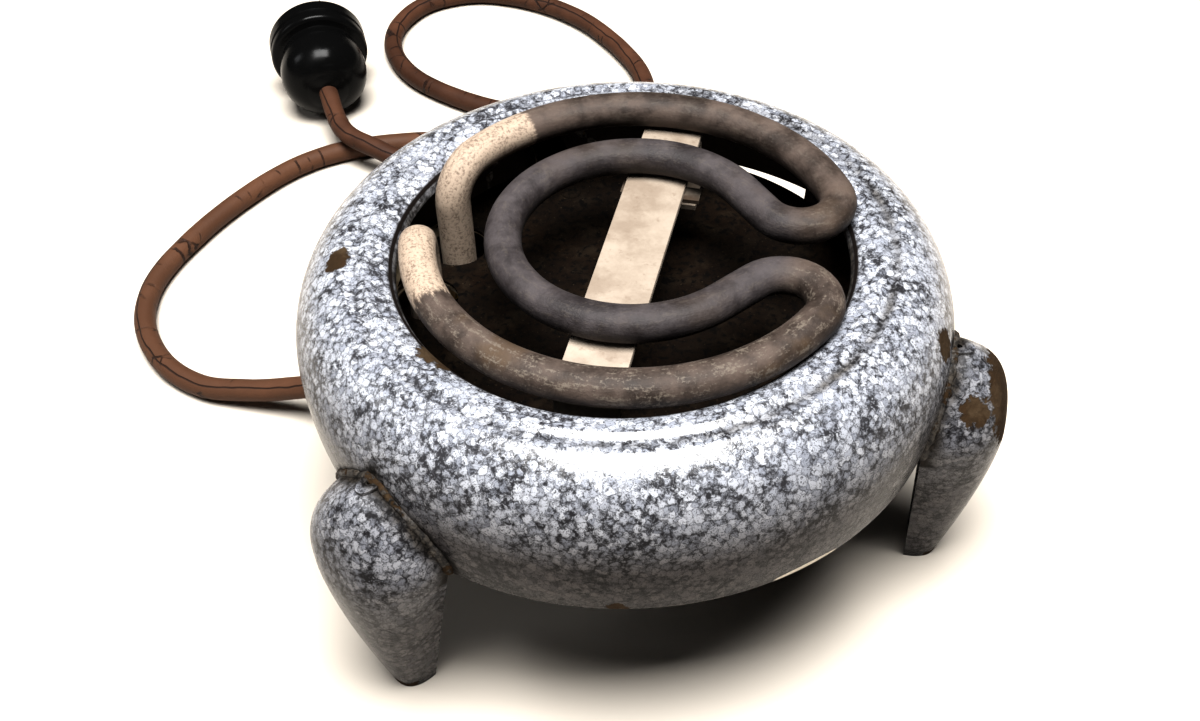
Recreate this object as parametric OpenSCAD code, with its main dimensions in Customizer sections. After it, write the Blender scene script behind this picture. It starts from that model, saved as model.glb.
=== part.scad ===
/* [Body shell] */
// Largest radius of the body
belly_r = 89.5; // [84:0.5:107.5]
// Height of the crown of the body above the table
crown_z = 101.5; // [96:0.5:122]
// Width of the shoulder, from the opening to the widest part
shoulder_w = 29; // [27:0.5:32]
// Height of the shoulder, from the widest part to the crown
shoulder_h = 24; // [22:0.5:26]
// Height of the body, from its bottom edge to the crown
body_h = 44.5; // [42:0.5:46]
// How far the bottom edge is drawn in from the widest part
hem_inset = 2.3; // [1:0.1:5]
// Thickness of the enamelled sheet
sheet_t = 1.2; // [0.8:0.1:1.6]
// Width of the rolled bead round the opening
bead_w = 6; // [4:0.5:8]
// Depth of the pressed groove outside the bead
groove_d = 1.1; // [0:0.1:2]

/* [Vent] */
// Height of the vent slot in the rear wall
vent_h = 5.2; // [3:0.1:8]
// Length of the vent slot
vent_len = 29; // [15:1:50]
// Direction of the vent slot, measured from +X
vent_az = 58; // [40:1:75]
// Metal left between the vent slot and the bottom edge
vent_land = 3.2; // [3:0.1:6]

/* [Feet] */
// Direction of the right foot, measured from +X; the others are a third of a turn away
foot_az = -14; // [-30:1:30]
// How far the knee of a foot stands out from the body's bottom edge
knee_out = 19.3; // [12:0.1:26]
// How far the knee lies below the body's bottom edge
knee_drop = 3; // [0:0.5:8]
// How far the ridge of a foot stands out from the bottom edge at the table
tip_out = 7; // [5:0.1:14]
// Half width of a foot where it leaves the body
foot_half_w = 20; // [14:0.5:26]
// Half width of a foot at the table
tip_half_w = 6; // [4:0.5:10]
// How far a foot reaches up the wall from the bottom edge
foot_rise = 25; // [20:0.5:30]
// Thickness of a foot's pressed sheet
foot_t = 1.6; // [1:0.1:2.5]

/* [Heating element] */
// Diameter of the heating tube
tube_d = 10.2; // [9:0.1:11]
// How far the heating tube's centre stands above the crown of the body
element_rise = 2.3; // [2.3:0.1:6]
// Sideways offset of the coil from the body axis
element_x = 3; // [0:0.5:3]
// Distance from the opening to the outer turn's centreline
turn_inset = 3.5; // [3.5:0.1:8]
// Distance between the centrelines of the outer and the inner turn
turn_pitch = 22.5; // [21.5:0.1:27]
// Centreline radius of the two return bends
lobe_r = 10.5; // [9:0.1:10.5]
// Direction of the upper return bend
upper_lobe_az = 15.5; // [10:0.5:30]
// Direction of the lower return bend
lower_lobe_az = -37; // [-60:0.5:-30]
// Where the first cold end leaves the outer turn
end_a_az = 139.5; // [125:0.5:150]
// Where the second cold end leaves the outer turn
end_b_az = 185; // [175:0.5:200]
// Centreline radius of the bend down into a cold end
end_bend_r = 11; // [9:0.5:14]

/* [Support bar and pan] */
// Width of the support bar
bar_w = 16.8; // [12:0.2:22]
// Thickness of the support bar
bar_t = 1.6; // [1:0.1:3]
// Distance from each end of the support bar to the drip pan's rim
bar_inset = 11.8; // [10:0.1:24]
// Direction of the support bar
bar_az = 76.6; // [60:0.2:120]
// How far the drip pan's rim reaches beyond the opening
pan_reach = 5.8; // [1:0.1:10]
// Depth of the drip pan's floor below the crown of the body
pan_depth = 24.1; // [22:0.1:28]
// Height of the drip pan's rim over its floor
pan_rim_h = 3; // [2:0.5:6]
// Thickness of the drip pan's sheet
pan_t = 1; // [0.6:0.1:2]
// Clearance round each cold end where it passes the pan
pan_hole_gap = 3.6; // [2:0.2:5]

/* [Terminal cover] */
// Radius of the cover under the terminals
cover_r = 39; // [39:0.5:48]
// Depth of the cover below the pan
cover_depth = 30; // [28:0.5:36]
// Size of the cover's sloping shoulder, which the cord leaves through
cover_slope = 16; // [14:0.5:18]
// Thickness of the cover's sheet
cover_t = 1; // [0.8:0.1:1.5]

/* [Power cord and plug] */
// Diameter of the power cord
cord_d = 7.7; // [7:0.1:9.3]
// Diameter of the plug's gripping flange
plug_flange_d = 38.6; // [34:0.2:42]
// Diameter of the plug's domed body
plug_dome_d = 34; // [30:0.2:36]
// Length of the plug from cord hole to face
plug_len = 36; // [32:0.5:42]
// Length of the plug's blades
blade_len = 17; // [15:0.5:19]
// Distance between the plug's blades
blade_pitch = 12.7; // [12:0.1:14]

/* [Hidden] */
// fits
snug = 0.1;      // pieces that seat on each other
running = 0.25;  // screws and bolts in their holes
wall_gap = 0.4;  // flat flanges against the curved wall
through = 12;    // length of a cutter that passes right through a sheet
// screws, rivets and studs
bolt_r = 2;
bolt_head_r = 3.6;
bolt_head_h = 2.2;
nut_w = 7;
nut_h = 3;
rivet_r = 1.6;
rivet_head_r = 3;
rivet_head_h = 1;
stud_r = 1.9;
screw_r = 1.5;
screw_head_r = 3;
screw_head_h = 1.6;
// pieces under the pan
mica_t = 0.5;
mica_overlap = 3;
arm_w = 10;
arm_t = 1.5;
arm_flange_h = 13;
seal_h = 5;
stud_len = 14;
lug_t = 0.8;
lug_r = 4.4;
lug_tail = 5;
leg_below_pan = 9;
post_r = 3.5;
wire_d = 2.6;
$fn = 48;

// heights and radii that follow from the overall sizes
opening_r = belly_r - shoulder_w;
belly_z = crown_z - shoulder_h;
hem_z = crown_z - body_h;
hem_r = belly_r - hem_inset;
knee_r = hem_r + knee_out;
knee_z = hem_z - knee_drop;
tip_r = hem_r + tip_out;
foot_tuck = 1.7;
foot_root_r = hem_r - foot_tuck;
foot_top_z = hem_z + foot_rise;
element_z = crown_z + element_rise;
outer_turn_r = opening_r - turn_inset;
inner_turn_r = outer_turn_r - turn_pitch;
pan_z = crown_z - pan_depth;
pan_r = opening_r + pan_reach;
bar_len = 2 * (pan_r - bar_inset);
feet = [foot_az - 120, foot_az, foot_az + 120];

// where the two cold legs pass the pan
leg_a = element_leg(end_a_az, 1);
leg_b = element_leg(end_b_az, -1);
function element_leg(az, turn) =
    [element_x, 0] + polar(outer_turn_r, az) + end_bend_r * turn * polar(1, az + 90);

// the cover under the legs, and the sleeve square to its slope
cover_az = 160;
leg_reach = 25.8;
cover_pos = (leg_a + leg_b) / 2 - polar(leg_reach, cover_az);
cover_top = pan_z - pan_t - mica_t - snug;
cover_bottom = cover_top - cover_depth;
sleeve_dir = [cos(cover_az) * cos(45), sin(cover_az) * cos(45), -sin(45)];
sleeve_pos = [each cover_pos + polar(cover_r - cover_slope / 2, cover_az), cover_bottom + cover_slope / 2];
sleeve_r = cord_d / 2 + 1.6;
sleeve_tip_r = cord_d / 2 + 0.8;
sleeve_len = 22;
cord_exit = sleeve_pos + sleeve_len * sleeve_dir;

// the hanging part of the cord: sideways from the sleeve's tip, and height as a share of the drop
cord_hang = [
    [-9.3, 3.3, 0.69],
    [-21.3, 7.8, 0.42],
    [-36.3, 12.8, 0.22],
    [-52.3, 16.8, 0.09],
    [-69.3, 22.3, 0.01]
];
// the lying part: sideways from the sleeve's tip, and lift off the table in cord diameters
cord_lay = [
    [-84.3, 34.3, 0],
    [-94.3, 53.3, 0],
    [-95.3, 74.3, 0],
    [-86.8, 97.3, 0],
    [-72.3, 120.8, 0],
    [-54.3, 140.8, 0],
    [-33.3, 151.8, 0],
    [-5.3, 155.8, 0],
    [22.7, 153.8, 0],
    [48.7, 154.8, 0],
    [69.7, 162.3, 0],
    [81.7, 179.3, 0],
    [80.7, 199.3, 0],
    [70.7, 221.3, 0],
    [55.7, 241.8, 0],
    [34.7, 257.3, 0],
    [10.7, 264.3, 0],
    [-10.3, 258.3, 0],
    [-22.3, 241.3, 0],
    [-23.3, 221.3, 0],
    [-13.3, 201.3, 0],
    [4.7, 185.8, 0],
    [26.7, 173.3, 0.13],
    [49.7, 166.8, 0.65],
    [72.7, 163.8, 1.06],
    [91.7, 154.8, 0.52],
    [100.7, 136.3, 0.06],
    [93.7, 115.3, 0],
    [73.7, 104.8, 0],
    [46.7, 107.8, 0],
    [8.7, 125.8, 0.19],
    [-19.3, 140.3, 0.91],
    [-35.3, 152.3, 1.12]
];
rest_z = cord_d / 2 + 0.15;
plug_heading = 104;
plug_tilt = 4.7;
plug_tail = [cord_exit.x - 43.3, cord_exit.y + 172.8, plug_flange_d / 2 - 3.3];
plug_dir = [cos(plug_heading) * cos(plug_tilt), sin(plug_heading) * cos(plug_tilt), sin(plug_tilt)];
cord_route = concat(
    [for (p = cord_hang) [cord_exit.x + p.x, cord_exit.y + p.y, rest_z + p.z * (cord_exit.z - rest_z)]],
    [for (p = cord_lay) [cord_exit.x + p.x, cord_exit.y + p.y, rest_z + p.z * cord_d]]);

// ---- helpers -------------------------------------------------------------

function unit(v) = v / norm(v);
function polar(r, a) = [r * cos(a), r * sin(a)];
function arc_points(c, a, b, from, to, n) =
    [for (i = [0:n]) let (t = from + (to - from) * i / n) [c.x + a * cos(t), c.y + b * sin(t)]];

// points moved sideways by d, to the right of the way they run
function offset_line(p, d) =
    [for (i = [0:len(p) - 1])
        let (t = unit(p[min(i + 1, len(p) - 1)] - p[max(i - 1, 0)])) p[i] + d * [t.y, -t.x]];

function reversed(p) = [for (i = [len(p) - 1:-1:0]) p[i]];

// a smooth curve through the points p, with n steps between each two
function smooth_point(a, b, c, d, t) =
    0.5 * ((2 * b) + (c - a) * t + (2 * a - 5 * b + 4 * c - d) * t * t
           + (3 * b - a - 3 * c + d) * t * t * t);
function smooth_line(p, n) =
    [for (i = [0:len(p) - 2]) for (j = [0:n - 1])
        smooth_point(p[max(i - 1, 0)], p[i], p[i + 1], p[min(i + 2, len(p) - 1)], j / n),
     p[len(p) - 1]];

// a round tube along the points p, square to the directions first and last at its ends
module swept_tube(p, r, sides, first, last) {
    n = len(p);
    rings = [for (i = [0:n - 1])
        let (t = i == 0 ? unit(first) : i == n - 1 ? unit(last)
                 : unit(unit(p[i + 1] - p[i]) + unit(p[i] - p[i - 1])),
             s = unit(cross([0, 0, 1], t)),
             u = cross(t, s))
        for (k = [0:sides - 1]) p[i] + r * (cos(360 * k / sides) * s + sin(360 * k / sides) * u)];
    walls = [for (i = [0:n - 2]) for (k = [0:sides - 1])
        let (a = i * sides + k, b = i * sides + (k + 1) % sides)
        each [[a, a + sides, b + sides], [a, b + sides, b]]];
    polyhedron(rings, concat(walls, [[for (k = [0:sides - 1]) k]],
                             [[for (k = [sides - 1:-1:0]) (n - 1) * sides + k]]), convexity = 10);
}

// turns +Z to point along v
module along(v) {
    rotate([0, acos(v.z / norm(v)), atan2(v.y, v.x)]) children();
}

module nut(w, h, bore) {
    difference() {
        cylinder(r = w / sqrt(3), h = h, $fn = 6);
        translate([0, 0, -1]) cylinder(r = bore, h = h + 2);
    }
}

// shank along +Z with its domed head below z = 0
module screw(r, h, head_r, head_h) {
    cylinder(r = r, h = h);
    rotate_extrude() polygon(concat([[0, 0]], reversed(arc_points([0, 0], head_r, -head_h, 0, 90, 6))));
}

// ---- body shell ----------------------------------------------------------

crown_r = opening_r + bead_w + 2;
groove_r = crown_r + 2.7;
groove_half_w = 3.6;
lip_drop = 4.5;
bead_drop = 1.2;
hem_roll = 1.6;

function crown_height(r) =
    belly_z + (crown_z - belly_z) * sqrt(max(0, 1 - pow(max(0, r - crown_r) / (belly_r - crown_r), 2)));
function groove_height(r) =
    abs(r - groove_r) < groove_half_w ? groove_d * pow(cos(90 * (r - groove_r) / groove_half_w), 2) : 0;
function skirt_r(z) = belly_r - (belly_r - hem_r) * pow((belly_z - z) / (belly_z - hem_z), 2);

lip_line = arc_points([opening_r + bead_w, crown_z - bead_drop - lip_drop], bead_w, lip_drop, 180, 96, 8);
groove_line = [for (r = [crown_r:0.6:groove_r + groove_half_w + 0.6]) [r, crown_height(r) - groove_height(r)]];
shoulder_from = acos((groove_r + groove_half_w + 1.2 - crown_r) / (belly_r - crown_r));
shoulder_line = arc_points([crown_r, belly_z], belly_r - crown_r, crown_z - belly_z, shoulder_from, 3, 12);
skirt_line = [for (i = [0:6]) let (z = belly_z + (hem_z + hem_roll - belly_z) * i / 6) [skirt_r(z), z]];
hem_line = arc_points([skirt_r(hem_z + hem_roll) - hem_roll, hem_z + hem_roll], hem_roll, hem_roll, -15, -180, 7);
shell_line = concat(lip_line, groove_line, shoulder_line, skirt_line, hem_line);

// everything inside the outer face of the wall
module body_envelope() {
    rotate_extrude($fn = 96)
        polygon(concat([[0, crown_z - 4], [crown_r, crown_z - 4]], shoulder_line, skirt_line,
                       [[0, hem_z + hem_roll]]));
}

// where the bolts pass the wall, each along its own +Z
module bolt_places() {
    for (a = feet) rotate(a) translate([arm_flange_r, 0, bolt_z]) rotate([0, 90, 0]) children();
}

module body_shell() color([0.66, 0.69, 0.74]) {
    difference() {
        rotate_extrude($fn = 96)
            polygon(concat(shell_line, reversed(offset_line(shell_line, sheet_t))));
        rotate(vent_az) translate([belly_r - 8, -vent_len / 2, hem_z + vent_land])
            cube([16, vent_len, vent_h]);
        bolt_places() translate([0, 0, -2]) cylinder(r = bolt_r + running, h = 12);
    }
}

// ---- feet ----------------------------------------------------------------

foot_flare_z = hem_z + 3;

function foot_ridge(z) = z < knee_z
    ? knee_r - (knee_r - tip_r) * pow(1 - z / knee_z, 1.35)
    : foot_root_r + (knee_r - foot_root_r)
        * pow(max(0, 1 - pow((z - knee_z) / (foot_top_z - knee_z), 2.4)), 1 / 2.4);
function foot_width(z) = z < foot_flare_z
    ? tip_half_w + (foot_half_w - tip_half_w) * z / foot_flare_z
    : foot_half_w * (1 - pow((z - foot_flare_z) / (foot_top_z - foot_flare_z), 2));

// one level of a foot: a rounded arch that is open towards the body
function foot_section(z, skin, root, sides) =
    let (depth = max(0.3, foot_ridge(z) - skin - foot_root_r), w = max(0.3, foot_width(z) - skin), q = 2 / 2.5)
    concat([[root, -w, z]],
           [for (j = [0:sides])
               let (t = -90 + 180 * j / sides)
               [foot_root_r + depth * pow(abs(cos(t)), q), w * sign(t) * pow(abs(sin(t)), q), z]],
           [[root, w, z]]);

module foot_loft(levels, skin, root) {
    sides = 16;
    pts = [for (z = levels) each foot_section(z, skin, root, sides)];
    m = sides + 3;
    n = len(levels);
    walls = [for (i = [0:n - 2]) for (k = [0:m - 1])
        let (a = i * m + k, b = i * m + (k + 1) % m) each [[a, a + m, b + m], [a, b + m, b]]];
    polyhedron(pts, concat(walls, [[for (k = [0:m - 1]) k]], [[for (k = [m - 1:-1:0]) (n - 1) * m + k]]),
               convexity = 6);
}

module foot(a) {
    rise = foot_top_z - knee_z;
    below = [for (i = [1:4]) knee_z * i / 4];
    above = [for (f = [0.28, 0.5, 0.68, 0.82]) knee_z + f * rise];
    outer = concat([0], below, above, [knee_z + 0.92 * rise, foot_top_z - 0.6]);
    inner = concat([1.5 * foot_t], below, above, [foot_top_z - 2 * foot_t]);
    color([0.5, 0.51, 0.54]) difference() {
        rotate(a) foot_loft(outer, 0, foot_root_r - 0.2);
        rotate(a) foot_loft(inner, foot_t, foot_root_r - 8);
        body_envelope();
    }
}
module foot_left() { foot(feet[0]); }
module foot_right() { foot(feet[1]); }
module foot_rear() { foot(feet[2]); }

// ---- drip pan and the arms that carry it ---------------------------------

arm_top = pan_z - pan_t;
bolt_z = arm_top - arm_flange_h * 0.55;
arm_flange_r = skirt_r(bolt_z) - sheet_t - wall_gap - arm_t;
rivet_place_r = pan_r - element_x - 9;
arm_start_r = rivet_place_r - rivet_head_r - 0.2;
cover_post_az = [cover_az - 80, cover_az + 100];
cover_post_r = cover_r - cover_slope - post_r - 1.5;

module cover_post_places() {
    for (a = cover_post_az)
        translate([cover_pos.x + cover_post_r * cos(a), cover_pos.y + cover_post_r * sin(a), 0]) children();
}
module bar_rivet_places() {
    for (s = [-1, 1])
        translate([element_x, 0, 0]) rotate(bar_az) translate([s * (bar_len / 2 - bar_foot / 2 - bar_t), 0, 0])
            children();
}

module drip_pan() color([0.16, 0.1, 0.06]) {
    line = concat([[0, pan_z], [pan_r - 7, pan_z]],
                  arc_points([pan_r - 7, pan_z + pan_rim_h + 3], 6, pan_rim_h + 3, 285, 320, 4),
                  [[pan_r, pan_z + pan_rim_h]]);
    difference() {
        translate([element_x, 0, 0]) rotate_extrude($fn = 96)
            polygon(concat(line, reversed(offset_line(line, pan_t))));
        for (p = [leg_a, leg_b])
            translate([p.x, p.y, pan_z - through / 2]) cylinder(r = tube_d / 2 + pan_hole_gap, h = through);
        for (a = feet)
            rotate(a) translate([rivet_place_r, 0, pan_z - through / 2])
                cylinder(r = rivet_r + snug, h = through);
        bar_rivet_places() translate([0, 0, pan_z - through / 2])
            cylinder(r = rivet_r + snug, h = through);
    }
}

module pan_arms() color([0.35, 0.33, 0.31]) {
    for (a = feet) rotate(a) difference() {
        union() {
            translate([arm_start_r, -arm_w / 2, arm_top - arm_t])
                cube([arm_flange_r + arm_t - arm_start_r, arm_w, arm_t]);
            translate([arm_flange_r, -arm_w / 2, arm_top - arm_flange_h])
                cube([arm_t, arm_w, arm_flange_h]);
        }
        translate([arm_flange_r - 2, 0, bolt_z]) rotate([0, 90, 0]) cylinder(r = bolt_r + running, h = 6);
        translate([rivet_place_r, 0, arm_top - arm_t - 2]) cylinder(r = rivet_r + snug, h = 6);
    }
}

module pan_rivets() color([0.4, 0.36, 0.32]) {
    for (a = feet) translate([rivet_place_r * cos(a), rivet_place_r * sin(a), pan_z]) {
        translate([0, 0, -pan_t - arm_t - rivet_head_h]) cylinder(r = rivet_r, h = pan_t + arm_t + rivet_head_h);
        mirror([0, 0, 1]) screw(rivet_r, 1, rivet_head_r, rivet_head_h);
        translate([0, 0, -pan_t - arm_t]) screw(rivet_r, 1, rivet_head_r, rivet_head_h);
    }
}

module arm_bolts() color([0.55, 0.52, 0.48]) {
    bolt_places() translate([0, 0, arm_t + wall_gap + sheet_t + 0.6]) mirror([0, 0, 1])
        screw(bolt_r, arm_t + wall_gap + sheet_t + nut_h + 3, bolt_head_r, bolt_head_h);
}

module arm_nuts() color([0.5, 0.47, 0.43]) {
    bolt_places() translate([0, 0, -nut_h - snug]) nut(nut_w, nut_h, bolt_r + snug);
}

// ---- heating element -----------------------------------------------------

lobe_ring_r = outer_turn_r - lobe_r;
straight_turn = acos((inner_turn_r + lobe_r) / lobe_ring_r);
leg_bottom_z = pan_z - pan_t - leg_below_pan;

// points of a level arc of the coil; skip leaves out the first when it repeats the one before
function level_arc(centre, r, from, to, skip = 1) =
    let (n = ceil(abs(to - from) * r / tube_step / 57.3))
    [for (i = [skip:n]) let (t = from + (to - from) * i / n)
        [element_x + centre.x + r * cos(t), centre.y + r * sin(t), element_z]];
// the quarter bend from a cold leg up to the outer turn
function end_bend(az, turn) =
    [for (u = [90:-15:0])
        let (q = polar(outer_turn_r, az) + turn * end_bend_r * sin(u) * polar(1, az + 90))
        [element_x + q.x, q.y, element_z - end_bend_r * (1 - cos(u))]];

tube_step = 6;
tube_path = concat(
    [[each leg_a, leg_bottom_z]], end_bend(end_a_az, 1),
    level_arc([0, 0], outer_turn_r, end_a_az, upper_lobe_az),
    level_arc(polar(lobe_ring_r, upper_lobe_az), lobe_r, upper_lobe_az, upper_lobe_az - 180 + straight_turn),
    level_arc([0, 0], inner_turn_r, upper_lobe_az + straight_turn, 360 + lower_lobe_az - straight_turn, 0),
    level_arc(polar(lobe_ring_r, lower_lobe_az), lobe_r, lower_lobe_az + 180 - straight_turn, lower_lobe_az, 0),
    level_arc([0, 0], outer_turn_r, 360 + lower_lobe_az, end_b_az),
    [for (p = reversed(end_bend(end_b_az, -1))) if (p.z < element_z - 0.01) p],
    [[each leg_b, leg_bottom_z]]);

module heating_element() color([0.3, 0.28, 0.28]) {
    lean = 0.001;
    swept_tube(tube_path, tube_d / 2, 14,
               [each -lean * polar(1, end_a_az + 90), 1], [each -lean * polar(1, end_b_az + 90), -1]);
}

module at_legs(z) {
    for (p = [leg_a, leg_b]) translate([p.x, p.y, z]) children();
}

module end_seals() color([0.82, 0.78, 0.7]) {
    at_legs(leg_bottom_z - seal_h) difference() {
        cylinder(r1 = tube_d / 2 - 1.2, r2 = tube_d / 2 - 0.4, h = seal_h, $fn = 32);
        translate([0, 0, -1]) cylinder(r = stud_r + snug, h = seal_h + 2);
    }
}

stud_top_z = leg_bottom_z - snug;
lug_z = leg_bottom_z - seal_h - nut_h - 2 * snug - lug_t;

module terminal_studs() color([0.7, 0.6, 0.35]) {
    at_legs(stud_top_z - stud_len) cylinder(r = stud_r, h = stud_len);
}

module terminal_nuts() color([0.72, 0.62, 0.38]) {
    at_legs(lug_z + lug_t + snug) nut(nut_w, nut_h, stud_r + snug);
    at_legs(lug_z - snug - nut_h) nut(nut_w, nut_h, stud_r + snug);
}

// directions in which the two lugs reach for their wires
lug_az = [leg_wire_az(leg_a), leg_wire_az(leg_b)];
function leg_wire_az(p) = atan2(cover_pos.y - p.y, cover_pos.x - p.x);

module ring_lugs() color([0.75, 0.7, 0.55]) {
    for (i = [0, 1]) translate([each [leg_a, leg_b][i], lug_z]) rotate(lug_az[i]) difference() {
        union() {
            cylinder(r = lug_r, h = lug_t);
            translate([0, -1.5, 0]) cube([lug_r + lug_tail, 3, lug_t]);
        }
        translate([0, 0, -1]) cylinder(r = stud_r + snug, h = lug_t + 2);
    }
}

// ---- support bar ---------------------------------------------------------

bar_top = element_z - tube_d / 2;
bar_foot = 9;
clip_t = 1.2;
clip_w = 5.5;
clip_ear = 4.5;
clip_back = 9;

module on_bar() {
    translate([element_x, 0, 0]) rotate(bar_az) children();
}

module support_bar() color([0.78, 0.75, 0.69]) on_bar() difference() {
    rotate([90, 0, 0]) translate([0, 0, -bar_w / 2]) linear_extrude(bar_w) {
        half = bar_len / 2;
        for (m = [0, 1]) mirror([m, 0]) polygon([
            [0, bar_top], [half, bar_top], [half, pan_z + bar_t], [half, pan_z],
            [half - bar_foot, pan_z], [half - bar_foot, pan_z + bar_t], [half - bar_t, pan_z + bar_t],
            [half - bar_t, bar_top - bar_t], [0, bar_top - bar_t]]);
    }
    for (s = [-1, 1]) translate([s * (bar_len / 2 - bar_foot / 2 - bar_t), 0, pan_z - 1])
        cylinder(r = rivet_r + snug, h = bar_t + 2);
}

module bar_rivets() color([0.5, 0.46, 0.4]) {
    bar_rivet_places() translate([0, 0, pan_z - pan_t]) {
        cylinder(r = rivet_r, h = pan_t + bar_t);
        screw(rivet_r, 1, rivet_head_r, rivet_head_h);
        translate([0, 0, pan_t + bar_t]) mirror([0, 0, 1]) screw(rivet_r, 1, rivet_head_r, rivet_head_h);
    }
}

// straps across the underside of the bar whose ears reach out under the inner turn
module element_clips() color([0.6, 0.57, 0.5]) on_bar() {
    for (m = [0, 1]) rotate(180 * m)
        translate([inner_turn_r - clip_back, -bar_w / 2 - clip_ear, bar_top - bar_t - clip_t])
            cube([clip_w, bar_w + clip_ear + 1, clip_t]);
}

// ---- terminal cover ------------------------------------------------------

module mica_sheet() color([0.72, 0.68, 0.58]) {
    low = pan_z - through / 2;
    room = 0.5;
    difference() {
        translate([cover_pos.x, cover_pos.y, arm_top - mica_t])
            cylinder(r = cover_r + mica_overlap, h = mica_t, $fn = 64);
        at_legs(low) cylinder(r = tube_d / 2 + pan_hole_gap, h = through);
        cover_post_places() translate([0, 0, low]) cylinder(r = post_r + snug, h = through);
        for (a = feet) rotate(a) translate([arm_start_r - room, -arm_w / 2 - room, low])
            cube([belly_r, arm_w + 2 * room, through]);
        bar_rivet_places() translate([0, 0, low]) cylinder(r = rivet_head_r + room, h = through);
    }
}

module terminal_cover() color([0.28, 0.27, 0.26]) {
    mitre = cover_t * tan(22.5);
    difference() {
        translate([cover_pos.x, cover_pos.y, 0]) rotate_extrude($fn = 96)
            polygon([[0, cover_bottom], [cover_r - cover_slope, cover_bottom],
                     [cover_r, cover_bottom + cover_slope], [cover_r, cover_top],
                     [cover_r - cover_t, cover_top],
                     [cover_r - cover_t, cover_bottom + cover_slope + mitre],
                     [cover_r - cover_slope - mitre, cover_bottom + cover_t],
                     [0, cover_bottom + cover_t]]);
        cover_post_places() translate([0, 0, cover_bottom - through / 2])
            cylinder(r = screw_r + running, h = through);
        translate(sleeve_pos - 4 * sleeve_dir) along(sleeve_dir)
            cylinder(r = sleeve_neck_r + snug, h = 8);
    }
}

// two posts welded under the pan, tapped from below
module cover_posts() color([0.6, 0.57, 0.5]) {
    foot_z = cover_bottom + cover_t + snug;
    cover_post_places() translate([0, 0, foot_z]) difference() {
        cylinder(r = post_r, h = arm_top - foot_z);
        translate([0, 0, -1]) cylinder(r = screw_r + snug, h = cover_screw_len);
    }
}

cover_screw_len = 12;

module cover_screws() color([0.6, 0.56, 0.5]) {
    cover_post_places() translate([0, 0, cover_bottom - snug])
        screw(screw_r, cover_screw_len - 1, screw_head_r, screw_head_h);
}

// ---- cord, its sleeve and its clamp --------------------------------------

sleeve_neck_r = sleeve_r;
flange_over = 1.8;
outer_flange = 2;
inner_flange = 2;
inner_end = cover_t + snug + inner_flange;

module cord_sleeve() color([0.1, 0.09, 0.08]) {
    translate(sleeve_pos) along(sleeve_dir) rotate_extrude() polygon([
        [cord_d / 2 + snug, -inner_end], [sleeve_r + flange_over, -inner_end],
        [sleeve_r + flange_over, -cover_t - snug], [sleeve_neck_r, -cover_t - snug],
        [sleeve_neck_r, snug], [sleeve_r + flange_over, snug],
        [sleeve_r + flange_over, outer_flange], [sleeve_r, outer_flange + 1],
        [sleeve_tip_r, sleeve_len], [cord_d / 2 + snug, sleeve_len]]);
}

cord_inside = 14;
cord_start = sleeve_pos - cord_inside * sleeve_dir;
cord_line = smooth_line(concat([cord_exit], cord_route, [plug_tail]), 2);

// the held length of the cord, through the clamp and the sleeve
module cord_inner() color([0.36, 0.2, 0.13]) {
    translate(cord_start) along(sleeve_dir) cylinder(d = cord_d, h = cord_inside + sleeve_len);
}

module power_cord() color([0.36, 0.2, 0.13]) {
    swept_tube(cord_line, cord_d / 2, 10, sleeve_dir, plug_dir);
}

// the clamp sits on the cord behind the sleeve's inner flange, its ears up and down
clamp_w = 5;
clamp_wall = 1.2;
clamp_ear = 6;
clamp_screw_r = 1.2;
module clamp_frame() {
    translate(sleeve_pos - (inner_end + snug + clamp_w) * sleeve_dir) along(sleeve_dir) rotate(90) children();
}
module clamp_screw_places() {
    for (s = [-1, 1]) translate([0, s * (cord_d / 2 + clamp_ear - 2.4), clamp_w / 2]) rotate([0, 90, 0])
        children();
}

module cord_clamp() color([0.6, 0.57, 0.5]) clamp_frame() difference() {
    union() {
        cylinder(r = cord_d / 2 + clamp_wall, h = clamp_w);
        translate([-clamp_wall, -cord_d / 2 - clamp_ear, 0])
            cube([2 * clamp_wall, cord_d + 2 * clamp_ear, clamp_w]);
    }
    translate([0, 0, -1]) cylinder(r = cord_d / 2 + snug / 2, h = clamp_w + 2);
    clamp_screw_places() translate([0, 0, -3]) cylinder(r = clamp_screw_r + snug, h = 6);
}

module clamp_screws() color([0.65, 0.6, 0.5]) clamp_frame() {
    clamp_screw_places() translate([0, 0, -clamp_wall - snug]) screw(clamp_screw_r, 4, 2.1, 1.1);
}

// one lead from the end of the cord to the lug on leg p; side keeps the two apart
module lead(p, az, side) {
    tip = [each p + polar(lug_r + lug_tail - 2, az), lug_z - wire_d / 2 - snug];
    from = cord_start - 0.2 * sleeve_dir + [each polar(side, cover_az - 90), 0];
    swept_tube(smooth_line([from, from - 5 * sleeve_dir, tip + [each polar(10, az), 6],
                            tip + [each polar(5, az), 0], tip], 3),
               wire_d / 2, 8, -sleeve_dir, -[each polar(1, az), 0]);
}
module lead_live() color([0.12, 0.12, 0.12]) { lead(leg_a, lug_az[0], wire_d * 0.7); }
module lead_neutral() color([0.8, 0.78, 0.72]) { lead(leg_b, lug_az[1], -wire_d * 0.7); }

// ---- plug ----------------------------------------------------------------

plug_roll = 50;
face_t = 1.6;
face_recess_r = 14.5;
recess_depth = 10;
blade_w = 6.35;
blade_t = 1.5;
blade_root = recess_depth - snug;
plug_screw_r = 1.3;
plug_screw_z = plug_len - blade_root + 3;
flange_h = 12.5;

module plug_frame() {
    translate(plug_tail) along(plug_dir) rotate(plug_roll) children();
}

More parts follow.
